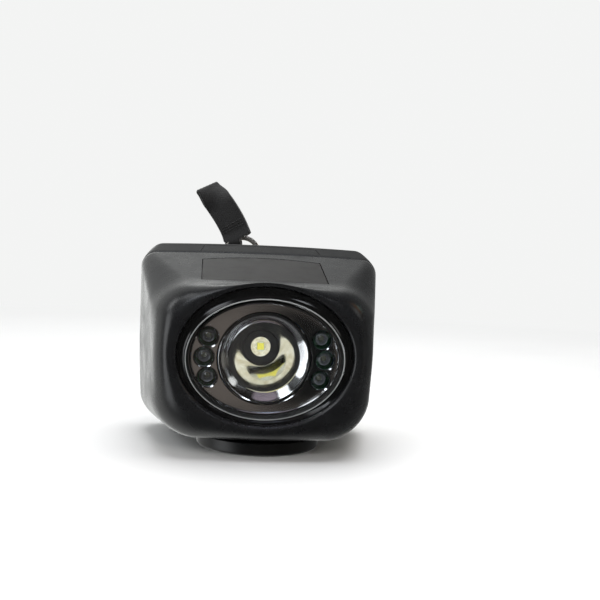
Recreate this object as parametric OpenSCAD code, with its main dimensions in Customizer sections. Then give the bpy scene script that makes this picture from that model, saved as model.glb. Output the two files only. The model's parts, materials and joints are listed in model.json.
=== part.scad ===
// Miner's cap lamp, cordless: a black moulded housing with an oval lens, a central reflector with one
// main LED, two columns of small LEDs, a clock display under a smoked window, two cells, a push switch
// in a round foot, a spring clip for a helmet bracket, and a safety strap on a steel ring.
// Millimetres. +Z is up, -Y is the way the lamp shines, +X is to the right of someone facing the lens.
// The design datum is the parting plane of the housing (y = 0) and the underside of the body (z = 0).
// placed() moves that datum so that the finished part stands on z = 0, centred on the origin.

/* [Housing] */
// Half of the width at the parting plane
half_width = 40; // [39.5:0.1:41]
// Height of the body at the parting plane
body_height = 56.8; // [56:0.1:58]
// Highest point of the rear edge above the underside
rear_height = 59.9; // [59:0.1:61]
// Depth of the rear cover behind the parting plane
cover_depth = 11.5; // [11.5:0.1:12]
// Wall thickness of both shells
wall = 2.5; // [2.2:0.1:2.6]
// Half of the width of the front
front_half_width = 34.2; // [34:0.1:36]

/* [Optics] */
// Distance of the lens face in front of the parting plane
lens_reach = 43.5; // [43.5:0.1:44.5]
// Height of the lens centre above the underside
lens_height = 25.9; // [25.5:0.1:26.2]
// Downward tilt of the beam
beam_tilt = 4; // [3:0.5:5]
// Visible half width of the lens
lens_half_width = 23.4; // [23:0.1:23.6]
// Visible half height of the lens
lens_half_height = 18; // [17.8:0.1:18.2]
// Radius of the reflector mouth
reflector_radius = 12.9; // [12.7:0.1:13]
// Depth of the reflector
reflector_depth = 18.2; // [18:0.1:18.4]
// Radius of the reflector's neck, where the LED looks in
neck_radius = 5.7; // [5.6:0.1:5.8]

/* [Display] */
// Width of the smoked window
window_width = 39.5; // [38:0.5:40]
// Length of the smoked window down the slope of the top
window_length = 29.5; // [28:0.5:30]

/* [Foot and switch] */
// Radius of the round foot
foot_radius = 19.5; // [19:0.1:20]
// Height of the foot below the body
foot_height = 4.1; // [3.9:0.1:4.3]
// Distance of the foot's centre in front of the parting plane
foot_reach = 19; // [18:0.5:20]
// Radius of the push button
button_radius = 9.6; // [9:0.1:10]
// Travel of the push button
button_travel = 1.2; // [0.8:0.1:1.2]

/* [Helmet clip] */
// Width of the hook that goes into the helmet bracket
hook_width = 24; // [20:1:26]
// Gap between the hook and its plate
hook_gap = 4.4; // [4.4:0.1:4.6]
// Thickness of the spring steel
clip_steel = 1.2; // [1:0.1:1.2]

/* [Strap] */
// Radius of the ring to the middle of its wire
ring_radius = 5.8; // [5.6:0.1:6]
// Width of the webbing
strap_width = 10; // [9.5:0.1:10.5]
// How far the strap is turned away from the lamp's back
strap_turn = 22; // [15:1:25]

/* [Hidden] */
$fn = 64;
tiny = 0.02;

// Housing sections, each a rounded rectangle: distance behind the parting plane, half width,
// low edge, high edge, low corner radius, high corner radius
rim_low_radius = 8;
rim_high_radius = 5;
crown_y = 6.9;
crown_half_width = half_width - 2;
back_half_width = half_width - 3;
back_low = 1.5;
back_high = rear_height - 1.9;
front_y = -36;
front_low = 0;
front_high = 47;
top_slope = atan((body_height - front_high) / -front_y);
chin_radius = 9;
// Flat front face round the lens barrel, leaning back
face_y = -43.4;
face_z = 25.6;
face_lean = 5;
face_half_width = 28.5;
face_half_height = 20.6;

// Optics, along the beam axis with zero at the front face of the lens and + towards the viewer
bezel_rim = 2.9;
barrel_depth = 8;
bezel_depth = 1.4;
lens_edge = 1.6;
lens_thickness = 2;
gasket_thickness = 1;
gasket_width = 2.7;
plate_thickness = 1;
pocket_floor = -lens_thickness - gasket_thickness - plate_thickness;
collar_floor = pocket_floor - 2.2;
plate_face = -lens_thickness - gasket_thickness;
cup_base = plate_face - reflector_depth;
cup_wall = 0.8;
oval_steps = 72;
cup_steps = 24;
collar_depth = 2.3;
collar_radius = 10.4;
ring_thickness = 3.4;
board_thickness = 1.6;
led_board_face = cup_base - ring_thickness;
led_board_radius = 10.5;
sink_screw_x = 8.8;
sink_radius = 13;
sink_base = 2.4;
sink_depth = 5.6;
main_led_radius = 3.2;
main_led_base = 0.9;
main_led_dome = 1.6;

// Small LEDs: one column each side, the middle one further out
aux_radius = 2.5;
aux_places = [
    [-16.7, 6], [-17.8, 0], [-16.7, -6],
    [16.7, 6], [17.8, 0], [16.7, -6]
];
aux_flange = 0.8;
aux_length = 5.1;
aux_board_z = pocket_floor - 3.4;

// Window and electronics
window_start = 2.75;
window_thickness = 1.8;
window_ledge = 2;
window_fit = 0.15;
module_size = [40.2, 12, 6];
module_reach = 24.2;
control_size = [56, 14, 1.2];

// Battery
cell_radius = 9.15;
cell_length = 65;
cell_y = -0.6;
cell_low_z = 18.6;
cell_high_z = 37.4;
link_thickness = 0.3;
holder_wall = 0.3;
holder_end = 1.2;

// Fasteners
screw_radius = 1.5;
boss_radius = 2.9;
boss_x = 31.5;
boss_low_z = 5.6;
boss_high_z = 50.6;
boss_end = -12;

// Foot and switch stack
button_recess = 1.3;
stem_radius = 2.4;
stem_hole_radius = 3.6;
seal_thickness = 0.8;
tact_base = 9.2;
tact_height = 3.6;
plunger_height = 0.8;
stem_top = tact_base - tact_height - plunger_height - button_travel - 0.05;
shoulder_z = -button_travel - 0.25;
post_radius = 1.6;
post_x = 9.6;
board_post_x = 24;
collar_screw_circle = 14.4;

// Clip
clip_plate_width = 38;
clip_low_z = 13;
clip_bend_z = 41.5;
hook_low_z = 18;
hook_tip_z = 14;
hook_flare = 1.2;
clip_screw_x = 15.4;
clip_screw_z = 28;
bend_inner = hook_gap / 2;
bend_y = cover_depth + clip_steel + bend_inner;
hook_back_y = cover_depth + 2 * clip_steel + hook_gap;

// Ring, lug and strap
wire_radius = 0.9;
ring_x = -5.6;
ring_y = 14.6;
lug_z = 51;
lug_width = 3;
lug_hole_radius = 1.5;
lug_radius = 3.1;
ring_z = lug_z + ring_radius;
strap_x = -7;
strap_thickness = 3.2;
strap_neck_width = 6;
// Middle line of the webbing from the ring to the fold: the distance aside from strap_x
// in the webbing's own plane, and the height
strap_line = [
    [-1.4, 60.2], [-1.7, 62.5], [-2.6, 65.5], [-3.9, 68.6], [-6.4, 72.7], [-9.4, 76.8], [-12.3, 79.9]
];
strap_last = len(strap_line) - 1;

// Direction of the strap's middle line at a point, half of its width there, and a point of its edge
function strap_along(i) = let (
    a = strap_line[max(i - 1, 0)],
    b = strap_line[min(i + 1, strap_last)])
    (b - a) / norm(b - a);
function strap_half(i) = (i < 2 ? strap_neck_width : strap_width) / 2;
function strap_edge(i, side) = strap_line[i]
    + side * strap_half(i) * [-strap_along(i).y, strap_along(i).x];
strap_back = ring_y + strap_thickness / 2 * cos(strap_turn)
    - min([for (i = [0 : strap_last]) strap_edge(i, 1).x]) * sin(strap_turn);

// Place of the datum in the finished part
part_front = lens_reach + bezel_depth * cos(beam_tilt)
    + (lens_half_height + bezel_rim) * sin(beam_tilt);
part_back = max(hook_back_y + hook_flare, strap_back);
mid_y = (part_back - part_front) / 2;

module placed() {
    translate([0, -mid_y, foot_height]) children();
}

// Beam axis: +Z here points out of the lamp, +Y up
module on_beam() {
    placed() beam() children();
}

// Sloping top: the origin is the middle of the window's rear edge, -Y runs down the slope
module top_slope_frame() {
    translate([0, -window_start, body_height - window_start * tan(top_slope)])
        rotate([top_slope, 0, 0]) children();
}

module on_top() {
    placed() top_slope_frame() children();
}

module at_foot() {
    placed() translate([0, -foot_reach, 0]) children();
}

module oval(a, b) {
    polygon([for (i = [0 : oval_steps - 1]) let (t = 360 * i / oval_steps) [a * cos(t), b * sin(t)]]);
}

module oval_ring(a, b, width, low, high) {
    translate([0, 0, low]) linear_extrude(high - low) difference() {
        oval(a, b);
        oval(a - width, b - width);
    }
}

// Four short rods along Y, at the corners of a rounded rectangle
module section(y, half, low, high, low_radius, high_radius) {
    for (side = [-1, 1]) {
        translate([side * (half - low_radius), y, low + low_radius])
            rotate([90, 0, 0]) cylinder(r = low_radius, h = tiny, $fn = 32);
        translate([side * (half - high_radius), y, high - high_radius])
            rotate([90, 0, 0]) cylinder(r = high_radius, h = tiny, $fn = 32);
    }
}

// Beam axis in the datum's own coordinates
module beam() {
    translate([0, -lens_reach, lens_height]) rotate([90 + beam_tilt, 0, 0]) children();
}

module front_sections(inset) {
    section(0, half_width - inset, inset, body_height - inset,
        rim_low_radius - inset, rim_high_radius - inset);
    section(front_y + inset * 0.5, front_half_width - inset, front_low + inset,
        front_high - inset, chin_radius - inset, chin_radius - inset);
}

module front_form(inset) {
    hull() {
        front_sections(inset);
        translate([0, face_y + inset, face_z]) rotate([90 - face_lean, 0, 0])
            linear_extrude(tiny) oval(face_half_width - inset, face_half_height - inset);
    }
}

// Space behind the optics, which stops at the back of the lens barrel
module front_space() {
    hull() {
        front_sections(wall);
        beam() translate([0, 0, collar_floor - tiny]) linear_extrude(tiny)
            oval(lens_half_width + bezel_rim - wall * 0.4, lens_half_height + bezel_rim - wall);
    }
}

module cover_form(inset) {
    hull() {
        translate([0, tiny, 0]) section(0, half_width - inset, inset, body_height - inset,
            rim_low_radius - inset, rim_high_radius - inset);
        section(crown_y - inset * 0.3, crown_half_width - inset, 0.4 + inset,
            rear_height - inset, 7.5 - inset, 5 - inset);
        section(cover_depth - inset, back_half_width - inset, back_low + inset,
            back_high - inset, 6.5 - inset, 5 - inset);
    }
}

module boss_places() {
    for (side = [-1, 1], z = [boss_low_z, boss_high_z]) translate([side * boss_x, 0, z]) children();
}

// Upright ribs that tie the front bosses to the floor and the roof
module boss_webs() {
    for (side = [-1, 1], z = [0, boss_high_z])
        translate([side * boss_x - 1, boss_end, z]) cube([2, -boss_end, boss_low_z + 1]);
}

module along_y(y0, y1, radius) {
    translate([0, y1, 0]) rotate([90, 0, 0]) cylinder(r = radius, h = y1 - y0);
}

module rim_outline(inset) {
    low = rim_low_radius - inset;
    high = rim_high_radius - inset;
    half = half_width - inset;
    for (side = [-1, 1]) {
        translate([side * (half - low), inset + low]) circle(low);
        translate([side * (half - high), body_height - inset - high]) circle(high);
    }
    translate([low - half, inset]) square([2 * (half - low), low]);
    translate([-half, inset + low]) square([2 * half, body_height - 2 * inset - low - high]);
    translate([high - half, body_height - inset - high]) square([2 * (half - high), high]);
}

module front_shell() {
    difference() {
        union() {
            front_form(0);
            beam() translate([0, 0, -barrel_depth]) linear_extrude(barrel_depth)
                oval(lens_half_width + bezel_rim, lens_half_height + bezel_rim);
        }
        translate([0, tiny, 0]) front_space();
    }
    intersection() {
        front_form(0.5);
        union() {
            boss_places() along_y(boss_end, 0, boss_radius);
            boss_webs();
        }
    }
    for (side = [-1, 1]) {
        translate([side * post_x, -foot_reach, wall / 2])
            cylinder(r = post_radius, h = tact_base - wall / 2);
        top_slope_frame() translate([side * board_post_x, -10, -7]) cylinder(r = 2, h = 6);
    }
}

module optics_pocket() {
    beam() {
        translate([0, 0, pocket_floor]) linear_extrude(20)
            oval(lens_half_width + lens_edge, lens_half_height + lens_edge);
        linear_extrude(20)
            oval(lens_half_width + bezel_rim + 0.05, lens_half_height + bezel_rim + 0.05);
        translate([0, 0, collar_floor - 12]) linear_extrude(20)
            oval(lens_half_width - 1.4, lens_half_height - 2);
    }
}

module window_pocket() {
    top_slope_frame() {
        translate([-window_width / 2, -window_length, -window_thickness])
            cube([window_width, window_length, 10]);
        translate([-window_width / 2 + window_ledge, -window_length + window_ledge, -6])
            cube([window_width - 2 * window_ledge, window_length - 2 * window_ledge, 10]);
    }
}

module seal_groove() {
    rotate([90, 0, 0]) linear_extrude(1.2) difference() {
        rim_outline(1.2);
        rim_outline(wall);
    }
}

module front_housing() {
    color([0.07, 0.07, 0.075]) placed() difference() {
        front_shell();
        optics_pocket();
        window_pocket();
        seal_groove();
        boss_places() along_y(boss_end + 1.5, 1, screw_radius);
        translate([0, -foot_reach, -1]) {
            cylinder(r = stem_hole_radius, h = 6);
            collar_screw_places() cylinder(r = 1.25, h = 6);
        }
    }
}

module rear_cover() {
    color([0.08, 0.08, 0.085]) placed() difference() {
        union() {
            difference() {
                cover_form(0);
                translate([0, -tiny, 0]) cover_form(wall);
            }
            intersection() {
                cover_form(0.5);
                union() {
                    boss_places() along_y(0.05, cover_depth, boss_radius);
                    clip_screw_places() along_y(6.9, cover_depth, 2.8);
                }
            }
            translate([ring_x - lug_width / 2, 0, 0]) rotate([90, 0, 90]) linear_extrude(lug_width) {
                translate([ring_y, lug_z]) circle(lug_radius);
                translate([cover_depth - 1.5, lug_z - lug_radius]) square([ring_y - cover_depth + 1.5, 2 * lug_radius]);
            }
        }
        boss_places() along_y(-1, cover_depth + 1, screw_radius + 0.15);
        boss_places() along_y(cover_depth - 2.4, cover_depth + 5, 3);
        clip_screw_places() along_y(5, cover_depth + 1, screw_radius);
        charge_places() along_y(5, cover_depth + 1, 1.5);
        charge_places() along_y(cover_depth - 0.6, cover_depth + 1, 3);
        translate([ring_x - lug_width, ring_y, lug_z]) rotate([0, 90, 0])
            cylinder(r = lug_hole_radius, h = 2 * lug_width);
    }
}

module housing_seal() {
    color([0.55, 0.12, 0.1]) placed() rotate([90, 0, 0]) translate([0, 0, 0.02]) linear_extrude(1.16) difference() {
        rim_outline(1.25);
        rim_outline(wall);
    }
}

module cap_screw(length, head_radius, head_height, socket_radius) {
    difference() {
        union() {
            along_y(-length, 0, screw_radius);
            along_y(0, head_height, head_radius);
        }
        translate([0, head_height + 0.1, 0]) rotate([90, 0, 0])
            cylinder(r = socket_radius, h = head_height * 0.6, $fn = 6);
    }
}

module cover_screws() {
    color([0.6, 0.6, 0.62]) placed() boss_places() translate([0, cover_depth - 2.4, 0])
        cap_screw(18, 2.7, 2, 1.3);
}

module lens_bezel() {
    color([0.04, 0.04, 0.045]) on_beam() oval_ring(lens_half_width + bezel_rim - 0.05,
        lens_half_height + bezel_rim - 0.05, bezel_rim, 0, bezel_depth);
}

module lens() {
    color([0.85, 0.88, 0.9, 0.35]) on_beam() translate([0, 0, -lens_thickness])
        linear_extrude(lens_thickness)
            oval(lens_half_width + lens_edge - 0.05, lens_half_height + lens_edge - 0.05);
}

module lens_gasket() {
    color([0.12, 0.12, 0.12]) on_beam() oval_ring(lens_half_width + lens_edge - 0.05,
        lens_half_height + lens_edge - 0.05, gasket_width, plate_face, -lens_thickness);
}

module aux_at(index) {
    on_beam() translate([aux_places[index].x, aux_places[index].y, 0]) children();
}

module reflector_plate() {
    color([0.8, 0.81, 0.82]) on_beam() translate([0, 0, pocket_floor]) difference() {
        linear_extrude(plate_thickness) difference() {
            oval(lens_half_width + lens_edge - 0.05, lens_half_height + lens_edge - 0.05);
            for (place = aux_places) translate(place) circle(aux_radius + 0.2);
        }
        translate([0, 0, -1]) cylinder(r = reflector_radius + cup_wall + 0.05, h = 4);
    }
}

// Radius of the parabolic bowl at a height above its base, up to the foot of its shallow collar
bowl_depth = reflector_depth - collar_depth;
function bowl(height) = sqrt(pow(neck_radius, 2)
    + (pow(collar_radius, 2) - pow(neck_radius, 2)) * height / bowl_depth);

module reflector_cup() {
    inside = [for (i = [0 : cup_steps]) let (h = bowl_depth * i / cup_steps) [bowl(h), h]];
    outside = [for (i = [cup_steps : -1 : 0]) let (h = bowl_depth * i / cup_steps) [bowl(h) + cup_wall, h]];
    rim = [[reflector_radius, reflector_depth], [reflector_radius + cup_wall, reflector_depth]];
    color([0.86, 0.86, 0.87]) on_beam() translate([0, 0, cup_base])
        rotate_extrude() polygon(concat(inside, rim, outside));
}

module main_led() {
    color([0.93, 0.93, 0.9]) on_beam() translate([0, 0, led_board_face]) {
        cylinder(r = main_led_radius, h = main_led_base);
        translate([0, 0, main_led_base]) intersection() {
            sphere(r = main_led_dome);
            cylinder(r = 3, h = 3);
        }
    }
}

// Black tube that centres the LED under the bowl; its bore narrows to the LED
module led_centring_ring() {
    hole = main_led_radius + 0.2;
    bore = neck_radius - 0.1;
    color([0.06, 0.06, 0.06]) on_beam() translate([0, 0, led_board_face]) rotate_extrude()
        polygon([
            [hole, 0], [neck_radius + cup_wall, 0], [neck_radius + cup_wall, ring_thickness],
            [bore, ring_thickness], [bore, ring_thickness / 2], [hole, 1.4]
        ]);
}

module main_led_board() {
    color([0.9, 0.9, 0.88]) on_beam() translate([0, 0, led_board_face - board_thickness]) difference() {
        cylinder(r = led_board_radius, h = board_thickness);
        sink_screw_places() translate([0, 0, -1]) cylinder(r = 1.1, h = 4);
    }
}

module sink_screw_places() {
    for (side = [-1, 1]) translate([side * sink_screw_x, 0, 0]) children();
}

module heat_sink() {
    fin_gap = 2.2;
    color([0.68, 0.69, 0.7]) on_beam() translate([0, 0, led_board_face - board_thickness - sink_depth])
        difference() {
            cylinder(r = sink_radius, h = sink_depth);
            for (i = [-2 : 2]) translate([i * 4.6 - fin_gap / 2, -20, -1])
                cube([fin_gap, 40, sink_depth - sink_base + 1]);
            sink_screw_places() translate([0, 0, -1]) cylinder(r = 1, h = 10);
        }
}

module heat_sink_screws() {
    color([0.75, 0.75, 0.76]) on_beam() translate([0, 0, led_board_face]) sink_screw_places() {
        translate([0, 0, -3.9]) cylinder(r = 1, h = 3.9);
        cylinder(r = 1.5, h = 1.1);
    }
}

module aux_led(index) {
    color([0.85, 0.9, 0.92, 0.6]) aux_at(index) translate([0, 0, aux_board_z]) {
        cylinder(r = aux_radius + 0.3, h = aux_flange);
        cylinder(r = aux_radius, h = aux_length - aux_radius);
        translate([0, 0, aux_length - aux_radius]) intersection() {
            sphere(r = aux_radius);
            cylinder(r = 3, h = 3);
        }
    }
}

module aux_board(side) {
    color([0.1, 0.3, 0.16]) on_beam() translate([side * 17.6 - 2.8, -9.5, aux_board_z - 1])
        cube([5.6, 19, 1]);
}

module display_window() {
    color([0.1, 0.03, 0.04, 0.7]) on_top() translate([-window_width / 2 + window_fit,
        window_fit - window_length, -window_thickness + 0.02])
        cube([window_width - 2 * window_fit, window_length - 2 * window_fit, window_thickness - 0.02]);
}

module display_module() {
    color([0.12, 0.12, 0.13]) on_top() translate([-module_size.x / 2, -module_reach - module_size.y / 2,
        -wall - 0.2 - module_size.z]) cube(module_size);
}

module control_board() {
    color([0.1, 0.35, 0.18]) on_top() translate([-control_size.x / 2, -17, -8.2]) cube(control_size);
}

module battery_cell(z) {
    color([0.1, 0.35, 0.6]) placed() translate([-cell_length / 2, cell_y, z]) rotate([0, 90, 0])
        cylinder(r = cell_radius, h = cell_length);
}

module cell_link(side) {
    start = side > 0 ? cell_length / 2 : -cell_length / 2 - link_thickness;
    color([0.75, 0.76, 0.75]) placed() translate([start, cell_y - 3.5, cell_low_z - 5])
        cube([link_thickness, 7, cell_high_z - cell_low_z + 10]);
}

module holder_end_cap(side) {
    outer = cell_radius + holder_wall;
    reach = holder_end + link_thickness + 4;
    start = side > 0 ? cell_length / 2 - 4 : -cell_length / 2 - link_thickness - holder_end;
    translate([start, cell_y, 0]) {
        for (z = [cell_low_z, cell_high_z]) translate([0, 0, z]) rotate([0, 90, 0])
            cylinder(r = outer, h = reach);
        translate([0, -outer * 0.62, cell_low_z]) cube([reach, 2 * outer * 0.62, cell_high_z - cell_low_z]);
    }
}

module battery_holder() {
    color([0.2, 0.2, 0.21]) placed() difference() {
        union() {
            for (side = [-1, 1]) holder_end_cap(side);
            translate([-cell_length / 2, cell_y - 8.6, (cell_low_z + cell_high_z) / 2 - 3])
                cube([cell_length, 3, 6]);
        }
        for (z = [cell_low_z, cell_high_z]) translate([-cell_length / 2 - link_thickness, cell_y, z])
            rotate([0, 90, 0]) cylinder(r = cell_radius + 0.03, h = cell_length + 2 * link_thickness);
        translate([-cell_length / 2 - link_thickness, cell_y - 3.6, cell_low_z - 5.1])
            cube([cell_length + 2 * link_thickness, 7.2, cell_high_z - cell_low_z + 10.2]);
    }
}

module protection_board() {
    color([0.1, 0.3, 0.45]) placed() translate([-22, cell_y - 2, cell_high_z + cell_radius + 0.6])
        cube([44, 8, 1]);
}

module collar_screw_places() {
    for (angle = [90, 210, 330]) rotate([0, 0, angle]) translate([collar_screw_circle, 0, 0]) children();
}

module foot_collar() {
    color([0.05, 0.05, 0.05]) at_foot() difference() {
        rotate_extrude() {
            polygon([
                [button_radius + 0.35, 0], [foot_radius, 0], [foot_radius, 1 - foot_height],
                [foot_radius - 1, -foot_height], [button_radius + 1.15, -foot_height],
                [button_radius + 0.35, 0.8 - foot_height]
            ]);
        }
        collar_screw_places() translate([0, 0, -2.6]) cylinder(r = 1.1, h = 4);
    }
}

module collar_screws() {
    color([0.7, 0.7, 0.72]) at_foot() collar_screw_places() {
        translate([0, 0, -2.4]) cylinder(r = 1.1, h = wall + 2.4);
        translate([0, 0, wall]) cylinder(r = 2, h = 1.2);
    }
}

module switch_button() {
    color([0.09, 0.09, 0.09]) at_foot() rotate_extrude() polygon([
        [0, button_recess - foot_height], [button_radius - 0.8, button_recess - foot_height],
        [button_radius, button_recess - foot_height + 0.8], [button_radius, shoulder_z],
        [stem_radius, shoulder_z], [stem_radius, stem_top], [0, stem_top]
    ]);
}

module button_seal() {
    color([0.3, 0.3, 0.3]) at_foot() translate([0, 0, wall]) difference() {
        cylinder(r = 8, h = seal_thickness);
        translate([0, 0, -1]) cylinder(r = stem_radius + 0.06, h = 4);
    }
}

// Return spring round the stem, from the button to the floor of the housing
module button_spring() {
    half_turns = 5;
    coil_radius = 5;
    wire = 0.3;
    low = shoulder_z + wire;
    rise = (-low - wire) / half_turns;
    tilt = asin(rise / (2 * coil_radius));
    color([0.7, 0.7, 0.7]) at_foot() for (i = [0 : half_turns - 1]) {
        lean = i % 2 == 0 ? tilt : -tilt;
        translate([0, 0, low + rise * (i + 0.5)]) rotate([0, lean, 0]) rotate([0, 0, 180 * i])
            rotate_extrude(angle = 180) translate([coil_radius, 0]) circle(wire);
    }
}

module tact_switch() {
    color([0.15, 0.15, 0.15]) at_foot() {
        translate([-3, -3, tact_base - tact_height]) cube([6, 6, tact_height]);
        translate([0, 0, tact_base - tact_height - plunger_height]) cylinder(r = 1.75, h = plunger_height + 1);
    }
}

module switch_board() {
    color([0.1, 0.35, 0.18]) at_foot() translate([-11, -7, tact_base]) cube([22, 14, 1.2]);
}

module charge_places() {
    for (side = [-1, 1]) translate([side * 8, 0, 6]) children();
}

module charge_contact(side) {
    color([0.8, 0.72, 0.45]) placed() translate([side * 8, 0, 6]) {
        along_y(7.6, cover_depth, 1.45);
        along_y(cover_depth - 0.55, cover_depth + 0.3, 2.9);
    }
}

module clip_screw_places() {
    for (side = [-1, 1]) translate([side * clip_screw_x, 0, clip_screw_z]) children();
}

module helmet_clip() {
    color([0.72, 0.73, 0.74]) placed() {
        difference() {
            translate([-clip_plate_width / 2, cover_depth, clip_low_z])
                cube([clip_plate_width, clip_steel, clip_bend_z - clip_low_z]);
            clip_screw_places() along_y(5, 20, screw_radius + 0.1);
        }
        translate([-hook_width / 2, 0, 0]) rotate([90, 0, 90]) linear_extrude(hook_width) {
            translate([bend_y, clip_bend_z]) intersection() {
                difference() {
                    circle(bend_inner + clip_steel);
                    circle(bend_inner);
                }
                translate([-10, 0]) square(20);
            }
            polygon([
                [hook_back_y - clip_steel, clip_bend_z], [hook_back_y, clip_bend_z],
                [hook_back_y, hook_low_z], [hook_back_y + hook_flare, hook_tip_z],
                [hook_back_y + hook_flare - clip_steel, hook_tip_z], [hook_back_y - clip_steel, hook_low_z]
            ]);
        }
    }
}

module clip_screws() {
    color([0.65, 0.65, 0.67]) placed() clip_screw_places() translate([0, cover_depth + clip_steel, 0])
        cap_screw(5.6, 2.7, 1.7, 1.2);
}

module strap_ring() {
    color([0.78, 0.77, 0.73]) placed() translate([ring_x, ring_y, ring_z]) rotate([90, 0, 0])
        rotate_extrude() translate([ring_radius, 0]) circle(wire_radius, $fn = 24);
}

module strap() {
    color([0.1, 0.1, 0.1]) placed() difference() {
        translate([strap_x, ring_y, 0]) rotate([90, 0, -strap_turn])
            translate([0, 0, -strap_thickness / 2]) linear_extrude(strap_thickness)
                polygon(concat([for (i = [0 : strap_last]) strap_edge(i, 1)],
                    [for (i = [strap_last : -1 : 0]) strap_edge(i, -1)]));
        translate([ring_x, ring_y, ring_z]) rotate([90, 0, 0])
            rotate_extrude() translate([ring_radius, 0]) circle(wire_radius + 0.05, $fn = 24);
    }
}

front_housing();
rear_cover();
housing_seal();
cover_screws();
lens_bezel();
lens();
lens_gasket();
reflector_plate();
reflector_cup();
main_led();
led_centring_ring();
main_led_board();
heat_sink();
heat_sink_screws();
aux_led(0);  // aux_led_1
aux_led(1);  // aux_led_2
aux_led(2);  // aux_led_3
aux_led(3);  // aux_led_4
aux_led(4);  // aux_led_5
aux_led(5);  // aux_led_6
aux_board(-1);  // aux_board_left
aux_board(1);  // aux_board_right
display_window();
display_module();
control_board();
battery_cell(cell_low_z);  // battery_cell_lower
battery_cell(cell_high_z);  // battery_cell_upper
battery_holder();
cell_link(-1);  // cell_link_left
cell_link(1);  // cell_link_right
protection_board();
foot_collar();
collar_screws();
switch_button();
button_seal();
button_spring();
tact_switch();
switch_board();
charge_contact(-1);  // charge_contact_left
charge_contact(1);  // charge_contact_right
helmet_clip();
clip_screws();
strap_ring();
strap();
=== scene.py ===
import json
import math
import bmesh
import bpy
import numpy as np
from mathutils import Matrix, Vector

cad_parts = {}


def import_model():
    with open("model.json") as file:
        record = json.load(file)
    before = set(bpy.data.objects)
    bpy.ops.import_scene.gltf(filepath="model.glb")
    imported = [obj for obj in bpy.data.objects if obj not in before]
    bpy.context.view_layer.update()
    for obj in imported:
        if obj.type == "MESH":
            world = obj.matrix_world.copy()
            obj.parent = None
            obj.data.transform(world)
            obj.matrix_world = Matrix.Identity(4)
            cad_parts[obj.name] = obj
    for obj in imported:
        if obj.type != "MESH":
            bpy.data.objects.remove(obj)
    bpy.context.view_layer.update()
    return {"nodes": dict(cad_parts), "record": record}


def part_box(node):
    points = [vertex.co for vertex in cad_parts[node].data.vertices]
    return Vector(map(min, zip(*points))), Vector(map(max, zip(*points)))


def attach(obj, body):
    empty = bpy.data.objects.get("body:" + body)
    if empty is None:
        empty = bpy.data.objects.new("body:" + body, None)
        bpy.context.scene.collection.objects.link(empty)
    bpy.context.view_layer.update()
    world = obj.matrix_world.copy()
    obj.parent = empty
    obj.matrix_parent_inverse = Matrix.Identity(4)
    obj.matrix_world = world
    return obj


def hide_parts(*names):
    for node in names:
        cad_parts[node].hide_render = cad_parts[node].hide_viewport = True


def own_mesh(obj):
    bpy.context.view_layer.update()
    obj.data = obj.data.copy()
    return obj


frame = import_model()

# The shapes below are written in millimetres from the lamp's own datum: x = 0 is the middle, y = 0 the
# parting plane of the two shells, z = 0 the body's underside. The CAD nodes say where that datum lies.
MM = 0.001
PARTING_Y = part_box("rear_cover")[0].y
BODY_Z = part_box("foot_collar")[1].z
NODES = frame["nodes"]


def in_frame(points):
    """Datum millimetres to metres in the shared frame."""
    return np.asarray(points, float) * MM + np.array([0.0, PARTING_Y, BODY_Z])


# ---- local frames
BEAM_TILT = math.radians(4)
LENS_CENTRE = np.array([0.0, -43.5, 25.9])
BODY_HEIGHT = 56.8
TOP_FRONT_HEIGHT, TOP_LENGTH = 47.0, 36.0
TOP_SLOPE = math.atan((BODY_HEIGHT - TOP_FRONT_HEIGHT) / TOP_LENGTH)
CROWN_RISE, CROWN_REACH = 0.3, 33
FOOT_Y = -19.0


def beam(points):
    """x to the side, y up across the lens, z forward along the beam, from the lens face's centre."""
    p = np.asarray(points, float)
    s, c = math.sin(BEAM_TILT), math.cos(BEAM_TILT)
    return np.c_[p[:, 0], LENS_CENTRE[1] - p[:, 1] * s - p[:, 2] * c,
                 LENS_CENTRE[2] + p[:, 1] * c - p[:, 2] * s]


def crown(x):
    """The top is slightly higher in the middle than at its sides."""
    return CROWN_RISE * (1 - 2 * (x / CROWN_REACH) ** 2)


def on_top(points):
    """x to the side, y up the slope from the parting line, z away from the sloping top."""
    p = np.asarray(points, float)
    s, c = math.sin(TOP_SLOPE), math.cos(TOP_SLOPE)
    return np.c_[p[:, 0], p[:, 1] * c - p[:, 2] * s,
                 BODY_HEIGHT + p[:, 1] * s + p[:, 2] * c + crown(p[:, 0])]


def at_foot(points):
    """z up from the body's underside, from the middle of the foot."""
    return np.asarray(points, float) + np.array([0, FOOT_Y, 0])


def placed(local, mesh):
    """Points and faces brought out of one of the local frames above."""
    return local(mesh[0]), mesh[1]


# ---- mesh helpers
def piece(name, points, faces, material, slot=None, body="lamp", replaces=(), sharp=38):
    """A mesh object that rides on a body. points are datum millimetres, sharp is an angle in degrees."""
    mesh = bpy.data.meshes.new(name)
    mesh.from_pydata([tuple(p) for p in in_frame(points)], [], [tuple(f) for f in faces])
    bm = bmesh.new()
    bm.from_mesh(mesh)
    bmesh.ops.recalc_face_normals(bm, faces=bm.faces)
    bm.to_mesh(mesh)
    bm.free()
    obj = bpy.data.objects.new(name, mesh)
    bpy.context.scene.collection.objects.link(obj)
    mesh.materials.append(material)
    soften(obj, sharp)
    if body:
        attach(obj, body)
    if replaces:
        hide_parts(*replaces)
    return obj


def soften(obj, angle):
    """Smooth shading, apart from the edges that turn by more than the angle."""
    obj.data.shade_smooth()
    obj.data.set_sharp_from_angle(angle=math.radians(angle))


def full_turn(steps):
    """Evenly spaced angles of one turn, in radians."""
    return np.linspace(0, 2 * math.pi, steps, endpoint=False)


def travelled(points):
    """Distance along a polyline up to each of its points."""
    return np.r_[0, np.cumsum(np.linalg.norm(np.diff(points, axis=0), axis=1))]


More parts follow.
